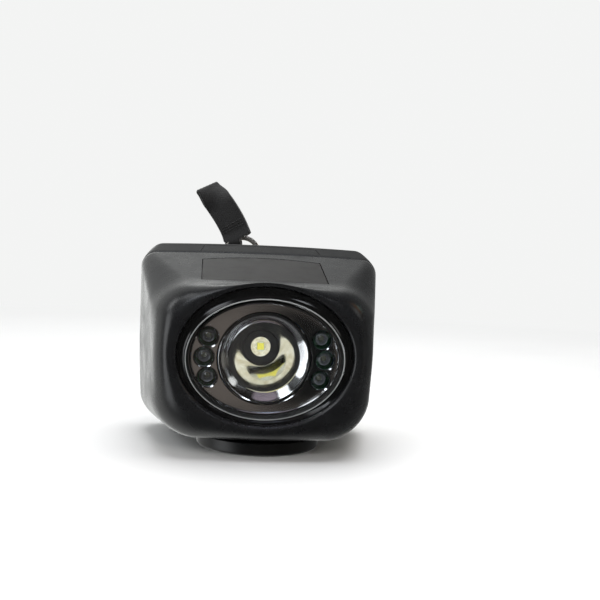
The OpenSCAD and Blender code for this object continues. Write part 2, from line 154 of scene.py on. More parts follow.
def loft(rings, close_ends=(False, False), wrap=False):
    """Points and quads of a skin through rings of equal length."""
    rings = [np.asarray(r, float) for r in rings]
    n, m = len(rings[0]), len(rings)
    faces = []
    for i in range(m if wrap else m - 1):
        a, b = i * n, ((i + 1) % m) * n
        for j in range(n):
            k = (j + 1) % n
            faces.append((a + j, a + k, b + k, b + j))
    if close_ends[0]:
        faces.append(tuple(range(n - 1, -1, -1)))
    if close_ends[1]:
        faces.append(tuple(range((m - 1) * n, m * n)))
    return np.vstack(rings), faces


def lathe(profile, steps=96):
    """Points and faces of a profile of (radius, height) turned about z. A radius of 0 makes a pole."""
    points, faces, rows = [], [], []
    for r, h in profile:
        if r < 1e-6:
            rows.append([len(points)] * steps)
            points.append((0, 0, h))
        else:
            rows.append(list(range(len(points), len(points) + steps)))
            points += [(r * math.cos(t), r * math.sin(t), h) for t in full_turn(steps)]
    for a, b in zip(rows, rows[1:]):
        for j in range(steps):
            k = (j + 1) % steps
            face = [a[j], a[k], b[k], b[j]]
            face = [v for i, v in enumerate(face) if v not in face[:i]]
            if len(face) > 2:
                faces.append(tuple(face))
    return np.array(points, float), faces


def merged(*parts):
    """Several (points, faces) as one."""
    points, faces, start = [], [], 0
    for p, f in parts:
        points.append(p)
        faces += [tuple(v + start for v in face) for face in f]
        start += len(p)
    return np.vstack(points), faces


def moved(part, shift):
    return part[0] + np.array(shift, float), part[1]


def carve(obj, points, faces, sharp=38):
    """Cuts a closed shape, given in datum millimetres, out of a piece."""
    cutter = piece("tool", points, faces, PLAIN, body=None)
    m = obj.modifiers.new("carve", "BOOLEAN")
    m.operation, m.solver, m.object = "DIFFERENCE", "EXACT", cutter
    bpy.context.view_layer.update()
    made = bpy.data.meshes.new_from_object(obj.evaluated_get(bpy.context.evaluated_depsgraph_get()))
    obj.modifiers.clear()
    obj.data = made
    bpy.data.objects.remove(cutter)
    soften(obj, sharp)


def bevel(obj, width, segments=2):
    """Rounds a piece's sharp edges. width is in millimetres."""
    m = obj.modifiers.new("bevel", "BEVEL")
    m.width, m.segments, m.limit_method, m.angle_limit = width * MM, segments, "ANGLE", math.radians(35)


def tube(path, radius, steps):
    """A round bar along an open path, closed at both ends."""
    path = np.asarray(path, float)
    tangent = np.gradient(path, axis=0)
    tangent /= np.linalg.norm(tangent, axis=1)[:, None]
    up = np.array([0, 0, 1.0]) if abs(tangent[0][2]) < 0.9 else np.array([1.0, 0, 0])
    normal = np.cross(tangent[0], up)
    normal /= np.linalg.norm(normal)
    rings = []
    for i, (c, t) in enumerate(zip(path, tangent)):
        normal = normal - t * (normal @ t)
        normal /= np.linalg.norm(normal)
        side = np.cross(t, normal)
        end = min(i, len(path) - 1 - i)
        r = radius * (0.6 if end == 0 else 0.9 if end == 1 else 1.0)
        rings.append([c + r * (math.cos(a) * normal + math.sin(a) * side) for a in full_turn(steps)])
    return loft(rings, (True, True))


def smooth(a, b, t):
    """0 below a, 1 above b, with an even slope at both ends."""
    t = np.clip((t - a) / (b - a), 0.0, 1.0)
    return t * t * (3 - 2 * t)


# ---- materials
class Nodes:
    """A node tree with small helpers. Values can be numbers, colours or another node's output."""

    def __init__(self, tree):
        self.tree = tree
        tree.nodes.clear()

    def node(self, kind, **props):
        n = self.tree.nodes.new("ShaderNode" + kind)
        for key, value in props.items():
            setattr(n, key, value)
        return n

    def plug(self, target, value):
        if isinstance(value, bpy.types.NodeSocket):
            self.tree.links.new(value, target)
        else:
            target.default_value = value

    def made(self, node, output, *values):
        """An output of a node whose first inputs take these values."""
        for socket, value in zip(node.inputs, values):
            self.plug(socket, value)
        return node.outputs[output]

    def between(self, value, low, high, to_low=0.0, to_high=1.0):
        return self.made(self.node("MapRange"), 0, value, low, high, to_low, to_high)

    def maths(self, operation, a, b):
        return self.made(self.node("Math", operation=operation), 0, a, b)

    def vector_maths(self, operation, output, *values):
        return self.made(self.node("VectorMath", operation=operation), output, *values)

    def mix(self, factor, a, b):
        n = self.node("Mix", data_type="RGBA")
        for key, value in (("Factor", factor), ("A", a), ("B", b)):
            self.plug(n.inputs[key], value)
        return n.outputs["Result"]

    def mix_shaders(self, factor, a, b):
        return self.made(self.node("MixShader"), 0, factor, a, b)


class Paint(Nodes):
    """A Principled material. Its textures use the object's own metres."""

    def __init__(self, name, **values):
        self.material = bpy.data.materials.new(name)
        self.material.use_nodes = True
        super().__init__(self.material.node_tree)
        self.out = self.node("OutputMaterial").inputs[0]
        self.shader = self.node("BsdfPrincipled")
        self.plug(self.out, self.shader.outputs[0])
        self.set(**values)
        self.coord = self.node("TexCoord").outputs["Object"]

    def set(self, **sockets):
        for key, value in sockets.items():
            self.plug(self.shader.inputs[key.replace("_", " ")], value)

    def stretch(self, scale):
        n = self.node("Mapping")
        self.plug(n.inputs["Scale"], scale)
        return self.made(n, 0, self.coord)

    def noise(self, scale, detail=3.0, rough=0.55, vector=None):
        n = self.node("TexNoise")
        self.plug(n.inputs["Vector"], self.coord if vector is None else vector)
        for key, value in (("Scale", scale), ("Detail", detail), ("Roughness", rough)):
            self.plug(n.inputs[key], value)
        return n.outputs["Fac"]

    def cells(self, scale, vector):
        n = self.node("TexVoronoi")
        self.plug(n.inputs["Vector"], vector)
        self.plug(n.inputs["Scale"], scale)
        return n.outputs["Distance"]

    def bump(self, height, strength, distance, under=None):
        n = self.node("Bump")
        for key, value in (("Height", height), ("Strength", strength), ("Distance", distance)):
            self.plug(n.inputs[key], value)
        if under is not None:
            self.plug(n.inputs["Normal"], under)
        return n.outputs[0]

    def let_lamps_through(self, tint):
        """Lamps shine through this glass onto what lies behind it."""
        clear = self.made(self.node("BsdfTransparent"), 0, tint)
        shadow = self.node("LightPath").outputs["Is Shadow Ray"]
        self.plug(self.out, self.mix_shaders(shadow, self.shader.outputs[0], clear))


def grey(v):
    return (v, v, v, 1)


def scaled(colour, factor, lift=0.0):
    """A colour made darker or lighter."""
    return tuple(min(1, c * factor + lift) for c in colour[:3]) + (1,)


def moulded(name, base, rough, grain=0.00004, grain_scale=2200, haze=0.06, dust=0.5, **values):
    """Moulded plastic or rubber: fine grain, a slow ripple, uneven gloss, and a little dust."""
    m = Paint(name, **values)
    fine = m.noise(grain_scale, 2)
    slow = m.noise(70, 2)
    dirt = m.between(m.noise(3500, 2, 0.7), 0.66, 0.80)
    patch = m.between(m.noise(160, 4, 0.6), 0.42, 0.75)
    specks = m.maths("MULTIPLY", dirt, m.maths("MULTIPLY", patch, dust))
    tone = m.mix(m.between(m.noise(260, 4), 0.3, 0.7), base, scaled(base, 1.35, 0.001))
    m.set(Base_Color=m.mix(specks, tone, scaled(base, 1, 0.06)))
    uneven = m.between(m.noise(120, 5, 0.6), 0.3, 0.75, rough - haze, rough + haze)
    m.set(Roughness=m.maths("ADD", uneven, m.maths("MULTIPLY", specks, 0.3)))
    ripple = m.bump(slow, 0.25, 0.00022)
    m.set(Normal=m.bump(fine, 0.35, grain, ripple))
    return m.material


def metal(name, base, rough, stretch=(1, 1, 1), scale=900, bump=0.00001, haze=0.08, tarnish=0.25, **values):
    """Plated, turned or brushed metal: marks along one direction, and uneven tarnish."""
    m = Paint(name, Metallic=1.0, **values)
    marks = m.noise(scale, 4, 0.65, m.stretch(stretch))
    cloud = m.between(m.noise(180, 4, 0.6), 0.35, 0.8)
    m.set(Base_Color=m.mix(m.maths("MULTIPLY", cloud, 0.7), base, scaled(base, 1 - tarnish)))
    uneven = m.between(marks, 0.3, 0.7, rough - haze, rough + haze)
    m.set(Roughness=m.maths("ADD", uneven, m.maths("MULTIPLY", cloud, 0.05)))
    m.set(Normal=m.bump(marks, 0.4, bump))
    return m.material


def clear(name, tint, rough, shade, marks=0.02):
    """Clear or smoked plastic, with faint flow marks and a little haze. shade is what it lets through."""
    m = Paint(name, Transmission_Weight=1.0, IOR=1.5)
    m.set(Base_Color=m.mix(m.noise(90, 2), tint, scaled(tint, 0.97)))
    m.set(Roughness=m.between(m.noise(240, 4, 0.6), 0.45, 0.8, rough, rough + marks))
    m.set(Normal=m.bump(m.noise(45, 2), 0.08, 0.0001))
    m.let_lamps_through(shade)
    return m.material


def two_tone(name, rough, first, second, patches, grain, depth=0.3, **values):
    """Two close tones in small patches, with a fine grain."""
    m = Paint(name, Roughness=rough, **values)
    m.set(Base_Color=m.mix(m.noise(*patches), first, second))
    m.set(Normal=m.bump(m.noise(grain, 2), depth, 0.00002))
    return m.material


PLAIN = bpy.data.materials.new("tool")
BODY_BLACK = moulded("body_black", (0.0085, 0.0088, 0.0095, 1), 0.28, dust=0.10)
COVER_BLACK = moulded("cover_black", (0.0115, 0.0118, 0.0122, 1), 0.31, dust=0.12)
FOOT_BLACK = moulded("foot_black", grey(0.007), 0.40, dust=0.15)
BEZEL_BLACK = moulded("bezel_black", grey(0.004), 0.10, grain=0.000015, haze=0.03, dust=0.06)
SEAL = moulded("seal_rubber", (0.26, 0.035, 0.02, 1), 0.6, dust=0.3)
GASKET = moulded("gasket_rubber", grey(0.02), 0.5, dust=0.2)
BUTTON = moulded("button_rubber", grey(0.03), 0.55, grain=0.00008, grain_scale=1500, dust=0.6)
RING_BLACK = moulded("ring_black", grey(0.02), 0.35, dust=0.2)
HOLDER = moulded("holder_plastic", grey(0.045), 0.5, dust=0.3)
MODULE = moulded("module_black", grey(0.02), 0.45, dust=0.1)
WHITE_BASE = moulded("led_white", (0.80, 0.77, 0.66, 1), 0.4, dust=0.0, Subsurface_Weight=0.1)
SLEEVE = moulded("cell_sleeve", (0.02, 0.11, 0.32, 1), 0.3, dust=0.1)
STEEL = metal("screw_steel", grey(0.50), 0.3)
SINK = metal("sink_aluminium", grey(0.62), 0.38, stretch=(1, 1, 8))
NICKEL = metal("ring_nickel", (0.86, 0.82, 0.74, 1), 0.42)
LEAD = metal("lead_frame", (0.78, 0.79, 0.82, 1), 0.45)
LINK = metal("link_nickel", (0.6, 0.58, 0.54, 1), 0.3)
SPRING = metal("spring_steel", grey(0.5), 0.3)
CLIP = metal("clip_steel", grey(0.46), 0.3, stretch=(0.06, 1, 1), scale=2600, bump=0.00002)
GOLD = metal("contact_gold", (0.83, 0.60, 0.27, 1), 0.22)
CHROME = metal("reflector_chrome", (0.90, 0.90, 0.91, 1), 0.045, scale=300, bump=0.000006, haze=0.02,
               tarnish=0.06)
LENS = clear("lens_clear", (0.97, 0.985, 0.99, 1), 0.0, (0.93, 0.94, 0.94, 1))
# A pale grey, opaque material for the bead round the lens rim: a painted highlight that stands in for the glint
# along the lens edge.
LENS_RIM_GLINT = moulded("lens_edge", (0.24, 0.25, 0.25, 1), 0.25, dust=0.1)
EPOXY = clear("led_clear", (0.95, 0.97, 1.0, 1), 0.01, (0.85, 0.87, 0.9, 1))
SMOKED = clear("window_smoked", (0.04, 0.018, 0.02, 1), 0.3, (0.10, 0.05, 0.05, 1), 0.08)
# The chip's yellow phosphor tones are its own colour. Its emission is a painted glow that makes the unlit chip
# shine faintly.
PHOSPHOR_PAINTED_GLOW = two_tone("led_chip_painted_glow", 0.5, (0.92, 0.74, 0.10, 1), (0.80, 0.62, 0.05, 1), (2500, 3), 6000,
                    Emission_Color=(0.85, 0.95, 0.25, 1), Emission_Strength=0.35)
DIE = two_tone("led_die", 0.35, (0.16, 0.16, 0.13, 1), (0.10, 0.10, 0.07, 1), (3000, 2), 5000)
SEGMENT = two_tone("segment_milky", 0.45, (0.55, 0.42, 0.40, 1), (0.46, 0.34, 0.32, 1), (1500, 3), 4000,
                   depth=0.2)


def circuit_board():
    m = Paint("board_green", Specular_IOR_Level=0.5)
    lanes = m.between(m.cells(900, m.stretch((1, 2.5, 1))), 0.08, 0.13)
    patches = m.between(m.noise(400, 2), 0.45, 0.5)
    copper = m.maths("MULTIPLY", lanes, patches)
    m.set(Base_Color=m.mix(copper, (0.012, 0.075, 0.025, 1), (0.03, 0.14, 0.05, 1)))
    m.set(Roughness=m.between(m.noise(300, 3), 0.3, 0.7, 0.25, 0.4))
    m.set(Normal=m.bump(copper, 0.5, 0.00004))
    return m.material


BOARD = circuit_board()
SLOT_PAINT = {
    "housing_black": BODY_BLACK, "seal_rubber": SEAL, "screw_steel": STEEL, "bezel_gloss": BEZEL_BLACK,
    "lens_clear": LENS, "reflector_chrome": CHROME, "led_white": WHITE_BASE, "ring_black": RING_BLACK,
    "sink_aluminium": SINK, "led_clear": EPOXY, "board_green": BOARD, "window_smoked": SMOKED,
    "module_black": MODULE, "cell_sleeve": SLEEVE, "holder_plastic": HOLDER, "link_nickel": LINK,
    "foot_black": FOOT_BLACK, "button_rubber": BUTTON, "spring_steel": SPRING, "contact_gold": GOLD,
    "clip_steel": CLIP, "ring_nickel": NICKEL, "strap_webbing": GASKET,
}
node_slot = {entry["node"]: entry["material_slot"] for entry in frame["record"]["subparts"]}
for name, obj in NODES.items():
    obj.data.materials.clear()
    obj.data.materials.append(SLOT_PAINT[node_slot[name]])

# ---- the two shells
POINTS_ROUND = 320
CENTRE_Z = 25.9
HALF_WIDTH = 40.0
CROWN_Y, CROWN_Z = 6.9, 59.9
LOW_CORNER, HIGH_CORNER = 8.5, 5
CREST_Z, CREST_HALF_WIDTH, CREST_HALF_HEIGHT = 26.9, 26.0, 20.4
CREST_ROUND = 1.2
WALL = 2.4
FINE_STEPS = 3000
DRAWN_IN, DRAWN_IN_BELOW = 0.035, 30


def rounded_corners(half, low, high, low_radius, high_radius, steps):
    """A rounded rectangle in the x-z plane, with one radius below and one above."""
    corners = ((half - high_radius, high - high_radius, high_radius),
               (high_radius - half, high - high_radius, high_radius),
               (low_radius - half, low + low_radius, low_radius),
               (half - low_radius, low + low_radius, low_radius))
    return np.array([(cx + r * math.cos(a), cz + r * math.sin(a)) for k, (cx, cz, r) in enumerate(corners)
                     for a in np.linspace(k * math.pi / 2, (k + 1) * math.pi / 2, steps)])


def evenly(shape, count):
    """x and z of points spaced evenly along a closed shape."""
    p = np.vstack([shape, shape[:1]])
    d = travelled(p)
    t = np.linspace(0, d[-1], count, endpoint=False)
    return np.interp(t, d, p[:, 0]), np.interp(t, d, p[:, 1])


def outline(half, low, high, low_radius=LOW_CORNER, high_radius=HIGH_CORNER):
    """A rounded rectangle whose sides draw in towards the underside and whose top is crowned."""
    x, z = evenly(rounded_corners(half, low, high, low_radius, high_radius, 40), FINE_STEPS)
    x = x * (1 - DRAWN_IN * np.clip((DRAWN_IN_BELOW - z) / DRAWN_IN_BELOW, 0, 1) ** 2)
    return np.c_[x, z + crown(x) * smooth(38, 46, z)]


def reach(shape, angles):
    """Distance from the centre to a closed shape, in each direction."""
    q = shape - np.array([0, CENTRE_Z])
    a = np.mod(np.arctan2(q[:, 1], q[:, 0]), 2 * math.pi)
    o = np.argsort(a)
    return np.interp(np.mod(angles, 2 * math.pi), a[o], np.hypot(q[:, 0], q[:, 1])[o], period=2 * math.pi)


def even_angles():
    """Directions that space the points evenly along the parting line."""
    x, z = evenly(outline(HALF_WIDTH, 0, BODY_HEIGHT), POINTS_ROUND)
    return np.unwrap(np.arctan2(z - CENTRE_Z, x))


ANGLES = even_angles()


def ring(distance, y):
    """Points round the lamp, one in each direction, at a distance from its middle line."""
    return np.c_[distance * np.cos(ANGLES), np.broadcast_to(y, ANGLES.shape),
                 CENTRE_Z + distance * np.sin(ANGLES)]


def by_side(side, up, down):
    """A value that changes smoothly round the lamp between its sides, top and underside."""
    s = np.sin(ANGLES)
    return side + (up - side) * np.clip(s, 0, 1) ** 2 + (down - side) * np.clip(-s, 0, 1) ** 2


def oval_reach(half_width, half_height, middle=CENTRE_Z):
    f = full_turn(FINE_STEPS)
    return reach(np.c_[half_width * np.cos(f), middle + half_height * np.sin(f)], ANGLES)


def wall_reach(y):
    """The front shell's wall at a y in front of the parting plane."""
    high = BODY_HEIGHT + y * math.tan(TOP_SLOPE)
    rounder = smooth(0, 34, -y)
    return reach(outline(HALF_WIDTH + SIDE_TAPER * y, 0, high, LOW_CORNER + 4.5 * rounder,
                         HIGH_CORNER + 5.5 * rounder), ANGLES)


SIDE_TAPER = 0.19
WALL_STEP = 0.5
WALL_TABLE = np.array([wall_reach(-g) for g in np.arange(0, 46.1, WALL_STEP)])


def wall_at(y):
    """wall_reach for a y that differs in each direction."""
    k = np.clip(-y / WALL_STEP, 0, len(WALL_TABLE) - 1.001)
    i, j = k.astype(int), np.arange(len(ANGLES))
    return WALL_TABLE[i, j] * (1 - (k - i)) + WALL_TABLE[i + 1, j] * (k - i)


ROLL_FROM = by_side(-24, -33, -30)
CREST_Y = by_side(-44.9, -46.3, -45.8)
CREST_REACH = oval_reach(CREST_HALF_WIDTH, CREST_HALF_HEIGHT, CREST_Z)


def front_rings():
    """From the parting line forward, over the rounded front, and down inside the crest round the lens."""
    rings = [ring(wall_at(ANGLES * 0 - ahead) - inset, -ahead)
             for ahead, inset in ((0.05, 0.16), (0.1, 0.05), (0.25, 0))]
    for t in np.linspace(0, 1, 18)[1:]:
        y = -0.25 + (ROLL_FROM + 0.25) * t
        rings.append(ring(wall_at(y), y))
    target = oval_reach(CREST_HALF_WIDTH + CREST_ROUND, CREST_HALF_HEIGHT + CREST_ROUND, CREST_Z)
    slope = (wall_at(ROLL_FROM - WALL_STEP) - wall_at(ROLL_FROM)) / WALL_STEP
    for f in np.linspace(0, math.pi / 2, 25)[1:]:
        a, b = 1 - math.cos(f), math.sin(f)
        y = ROLL_FROM + (CREST_Y - ROLL_FROM) * b
        lead = wall_at(ROLL_FROM) + slope * (ROLL_FROM - y) * (1 - b)
        rings.append(ring(lead * (1 - a) + target * a, y))
    for f in np.linspace(0, math.radians(78), 8)[1:]:
        rings.append(ring(CREST_REACH + CREST_ROUND * (1 - math.sin(f)),
                          CREST_Y + CREST_ROUND * (1 - math.cos(f))))
    rings.append(ring(CREST_REACH - 0.1, CREST_Y + 2.2))
    rings.append(ring(CREST_REACH - 0.2, CREST_Y + 6.0))
    return rings


def front_inside():
    """The wall's inner face, from the lens barrel back to the parting line."""
    rings = [ring(CREST_REACH - 1.0, CREST_Y + 8.5)]
    for t in np.linspace(0, 1, 7)[1:]:
        y = (ROLL_FROM - 4) * (1 - t) - 0.1 * t
        rings.append(ring(wall_at(y) - WALL, y))
    return rings


shell = piece("front_shell", *loft(front_rings() + front_inside(), wrap=True), BODY_BLACK, "housing_black",
              replaces=("front_housing",), sharp=50)


WINDOW_HALF, WINDOW_REAR, WINDOW_FRONT, WINDOW_ARCH = 19.3, -9.0, -32.3, 3.1


def window_slab(grow, low, high, across=25, along=13):
    """A slab in the shape of the display window, whose rear edge is arched."""
    grid = []
    for v in np.linspace(0, 1, along):
        for u in np.linspace(-1, 1, across):
            front, rear = WINDOW_FRONT - grow, WINDOW_REAR + grow + WINDOW_ARCH * (1 - u * u)
            grid.append((u * (WINDOW_HALF + grow), front + (rear - front) * v))
    n = len(grid)
    points = np.vstack([np.c_[grid, np.full(n, low)], np.c_[grid, np.full(n, high)]])
    faces = []
    for i in range(along - 1):
        for j in range(across - 1):
            a = i * across + j
            quad = (a, a + 1, a + across + 1, a + across)
            faces += [tuple(reversed(quad)), tuple(v + n for v in quad)]
    cells = np.arange(n).reshape(along, across)
    edge = [int(i) for i in (*cells[0], *cells[1:, -1], *cells[-1, -2::-1], *cells[-2:0:-1, 0])]
    for a, b in zip(edge, edge[1:] + edge[:1]):
        faces.append((a, b, b + n, a + n))
    return points, faces


for grow, low in ((0.2, -1.5), (-2.0, -9.0)):
    carve(shell, *placed(on_top, window_slab(grow, low, 4.0)), sharp=50)
window = piece("smoked_window", *placed(on_top, window_slab(0.0, -1.35, -0.04)), SMOKED, "window_smoked",
               replaces=("display_window",), sharp=30)
bevel(window, 0.12)


COVER_BACK_MIDDLE, COVER_FLOOR_MIDDLE = np.array([0, 11.5, 29.5]), np.array([0, 9.0, 29.5])


def cover_rings():
    """From the parting line back over the crown, down a step and round to the flat back."""
    top = BODY_HEIGHT
    stations = [(0.05, HALF_WIDTH - 0.16, 0.16, top - 0.16, LOW_CORNER - 0.15, HIGH_CORNER - 0.15),
                (0.1, HALF_WIDTH - 0.05, 0.05, top - 0.03, LOW_CORNER - 0.05, HIGH_CORNER - 0.05),
                (0.25, HALF_WIDTH, 0.0, top + 0.11, LOW_CORNER, HIGH_CORNER)]
    for y in (1.6, 3.0, 4.4, 5.6):
        t = y / CROWN_Y
        stations.append((y, HALF_WIDTH - 2 * t ** 1.6, 0.35 * t, top + (CROWN_Z - top) * t,
                         LOW_CORNER - 0.4 * t, 5))
    turns = [(math.sin(f * math.pi / 2), 1 - math.cos(f * math.pi / 2)) for f in np.linspace(0, 1, 7)]
    for back, turn in turns:
        stations.append((CROWN_Y - 0.5 + 1.4 * back, 38.1 - 0.5 * turn, 0.4 + 0.2 * turn,
                         CROWN_Z - 0.15 - 0.55 * turn, 8, 5))
    stations.append((9.6, 37.3, 0.9, 58.75, 7.6, 5))
    for back, turn in turns:
        stations.append((10.1 + 1.4 * back, 37.1 - 1.4 * turn, 1.1 + 1.4 * turn, 58.5 - 1.4 * turn,
                         7.2 - 0.9 * turn, 5 - turn))
    rings = [ring(reach(outline(*sizes), ANGLES), y) for y, *sizes in stations]
    return rings + [COVER_BACK_MIDDLE + (rings[-1] - COVER_BACK_MIDDLE) * k for k in (0.92, 0.7, 0.4, 0.12)]


def cover_inside():
    """The hollow's floor and walls, from the back to the parting line."""
    rings = [ring(reach(outline(half, low, high, 6, 3), ANGLES), y) for y, half, low, high in
             ((9.0, 34.6, 4.0, 55.6), (6.9, 35.6, 2.9, 57.3), (0.1, 37.5, 2.5, BODY_HEIGHT - 2.5))]
    return [COVER_FLOOR_MIDDLE + (rings[0] - COVER_FLOOR_MIDDLE) * k for k in (0.12, 0.6)] + rings


def cover_mesh():
    """The outer and inner skins, each closed in its middle."""
    outer, inner = cover_rings(), cover_inside()
    rings = outer + inner
    points, faces = loft(rings, wrap=True)
    n, m, o = len(ANGLES), len(rings), len(outer)
    hole = set(range((o - 1) * n, (o + 1) * n))
    faces = [f for f in faces if not set(f) <= hole]
    faces.append(tuple((o - 1) * n + j for j in range(n)))
    faces.append(tuple(o * n + j for j in reversed(range(n))))
    return points, faces


cover = piece("rear_shell", *cover_mesh(), COVER_BLACK, "housing_black", replaces=("rear_cover",), sharp=50)


def rod_y(x, z, radius, y0, y1, steps=40):
    """A rod along y, for cutting."""
    p, f = lathe([(0, 0), (radius, 0), (radius, y1 - y0), (0, y1 - y0)], steps)
    return np.c_[p[:, 0] + x, y0 + p[:, 2], p[:, 1] + z], f


screw_sinks = [(side * 31.5, z, 3.0, 9.1, 14) for side in (-1, 1) for z in (5.6, 50.6)]
contact_seats = [(x, 6, 3.0, 10.9, 14) for x in (-8, 8)]
for sizes in screw_sinks + contact_seats:
    carve(cover, *rod_y(*sizes), sharp=50)


def groove(start, end, across):
    """A bar that cuts a thin line into the strip behind the window. Places are x and the way up the strip."""
    width, depth, proud = 0.22, 0.16, 1
    slope = math.atan((CROWN_Z - BODY_HEIGHT) / CROWN_Y)
    c, s = math.cos(slope), math.sin(slope)
    rings = []
    for t in np.linspace(0, 1, 14):
        corners = []
        for side, w in ((-1, -depth), (1, -depth), (1, proud), (-1, proud)):
            x, v = (a + (b - a) * t + side * d * width / 2 for a, b, d in zip(start, end, across))
            corners.append((x, v * c - w * s, BODY_HEIGHT + v * s + w * c + crown(x)))
        rings.append(corners)
    return loft(rings, (True, True))


for start, end, across in (((-18.4, 6.0), (18.8, 6.0), (0, 1)), ((19.4, 5.7), (20.6, 0.9), (1, 0)),
                           ((-19.0, 5.7), (-20.2, 0.9), (1, 0))):
    carve(cover, *groove(start, end, across), sharp=50)

def inset_outline(inset):
    """The parting line's outline, drawn in."""
    return outline(HALF_WIDTH - inset, inset, BODY_HEIGHT - inset, LOW_CORNER - inset, HIGH_CORNER - inset)


seal_rings = [ring(reach(inset_outline(inset), ANGLES), y) for inset, y in
              ((1.2, -1.1), (1.0, -0.6), (1.2, -0.02), (2.3, -0.02), (2.5, -0.6), (2.3, -1.1))]
piece("parting_seal", *loft(seal_rings, wrap=True), SEAL, "seal_rubber", replaces=("housing_seal",))


# ---- optics
OVAL_STEPS = 192
OVAL_T = full_turn(OVAL_STEPS)
FLATTER = 5.4
LENS_EDGE_HALF = 23.55


def oval(half_width, z, scale=1.0, half_height=None):
    """An oval across the beam. All the lens's ovals are as much flatter than wide."""
    half_height = half_width - FLATTER if half_height is None else half_height
    return np.c_[half_width * scale * np.cos(OVAL_T), half_height * scale * np.sin(OVAL_T),
                 np.full(OVAL_STEPS, z)]


def bezel_mesh():
    """The black ring between the crest and the lens, with a bead at its edge and two fine grooves."""
    outer = ring(CREST_REACH - 0.12, CREST_Y + 1.75)
    half = oval_reach(LENS_EDGE_HALF, LENS_EDGE_HALF - FLATTER)
    inner = beam(np.c_[half * np.cos(ANGLES), half * np.sin(ANGLES), np.full(len(ANGLES), 0.25)])
    bead = ((0.012, -0.20), (0.03, -0.32), (0.05, -0.30), (0.07, -0.16), (0.085, -0.02))
    grooves = [(start + t, depth + start_depth) for start, start_depth in ((0.20, 0.0), (0.47, 0.04))
               for t, depth in ((0, 0), (0.02, 0.10), (0.05, 0.10), (0.07, 0))]
    last = ((0.74, 0.06), (0.80, 0.02), (0.90, -0.10), (0.96, -0.12), (1.0, 0.02))
    rings = [outer + np.array([0, back, 0]) for back in (6.0, 0.25, 0)]
    for t, back in (*bead, *grooves, *last):
        rings.append(outer + (inner - outer) * t + np.array([0, back, 0]))
    return loft(rings + [inner + np.array([0, back, 0]) for back in (0.6, 4.5)], wrap=True)


piece("bezel_ring", *bezel_mesh(), BEZEL_BLACK, "bezel_gloss", replaces=("lens_bezel",), sharp=30)


def lens_mesh():
    """A slightly domed lens with a step round its edge for the bezel."""
    edge = [(24.7, -2.0), (24.85, -1.85), (24.85, -0.75), (24.7, -0.6), (LENS_EDGE_HALF, -0.55),
            (23.45, -0.35), (23.45, 0.0), (23.3, 0.22), (22.95, 0.42), (22.5, 0.5)]
    back = [oval(24.7, -2.0, k) for k in (0.12, 0.6, 0.92)]
    front = [oval(22.5, 0.5 + 0.25 * (1 - k * k), k) for k in (0.85, 0.7, 0.5, 0.3, 0.12)]
    return loft(back + [oval(a, z) for a, z in edge] + front, (True, True))


# The pale bead round the lens rim is a painted highlight, in place of the bright line that the clear lens edge
# shows.
rim_glint_rings = [oval(23.28 + 0.17 * math.cos(a), 0.30 + 0.17 * math.sin(a)) for a in full_turn(12)]
piece("lens_edge", *placed(beam, loft(rim_glint_rings, wrap=True)), LENS_RIM_GLINT, "lens_clear", sharp=60)
piece("clear_lens", *placed(beam, lens_mesh()), LENS, "lens_clear", replaces=("lens",), sharp=60)
gasket_rings = [oval(a, z) for a, z in
                ((24.8, -2.95), (24.8, -2.1), (22.7, -2.1), (22.35, -2.3), (22.3, -2.7), (22.4, -2.95))]
piece("lens_seal", *placed(beam, loft(gasket_rings, wrap=True)), GASKET, "seal_rubber",
      replaces=("lens_gasket",))


AUX_PLACES = [(-16.7, 6), (-17.8, 0), (-16.7, -6), (16.7, 6), (17.8, 0), (16.7, -6)]


def plate_mesh():
    """The flat mirror plate, with a bright lip at its edge and a rolled edge round the bowl."""
    hole, face, back = 13.9, -3.0, -3.95
    lip = [(24.8, back), (24.8, face), (22.2, face), (22.15, -2.62), (22.0, -2.5), (21.8, -2.56),
           (21.7, -2.8), (21.5, face)]

    def towards_hole(half, k, z):
        return oval(half + (hole - half) * k, z, half_height=half - FLATTER + (hole - half + FLATTER) * k)

    rings = [oval(a, z) for a, z in lip]
    rings += [towards_hole(21.5, k, face) for k in (0.25, 0.5, 0.75, 0.95)]
    rings += [oval(hole, -3.1, half_height=hole), oval(hole, back, half_height=hole)]
    return loft(rings + [towards_hole(24.8, k, back) for k in (0.7, 0.3)], wrap=True)


plate = piece("mirror_plate", *placed(beam, plate_mesh()), CHROME, "reflector_chrome",
              replaces=("reflector_plate",), sharp=30)
led_hole = lathe([(0, -4.5), (2.66, -4.5), (2.66, -3.55), (2.75, -3.3), (2.95, -3.12), (3.3, -2.96),
                  (3.3, -2.0), (0, -2.0)], 48)
for x, y in AUX_PLACES:
    carve(plate, *placed(beam, moved(led_hole, (x, y, 0))), sharp=12)


def bowl_profile():
    """Mirror bowl in two stages: a shallow dished collar inside a rolled lip, then a deep parabola."""
    inside = [(13.7, -3.35), (13.75, -2.95), (13.58, -2.72), (13.28, -2.66), (13.02, -2.76), (12.88, -2.95)]
    for t in np.linspace(0, 1, 14):
        inside.append((12.84 - 2.24 * t, -3.05 - 1.75 * t ** 1.15))
    inside += [(10.58, -4.86), (10.57, -4.95), (10.56, -5.05)]
    for t in np.linspace(0, 1, 34):
        h = BOWL_STEP + (BOWL_NECK - BOWL_STEP) * t
        inside.append((math.sqrt(4 * BOWL_FOCAL * (h + BOWL_VERTEX)), h))
    outside = [(6.45, BOWL_NECK), (7.3, -19.8), (9.3, -14.5), (11.4, -9.0), (12.3, -6.5), (13.4, -4.4),
               (13.65, -3.9)]
    return inside + outside + [inside[0]]


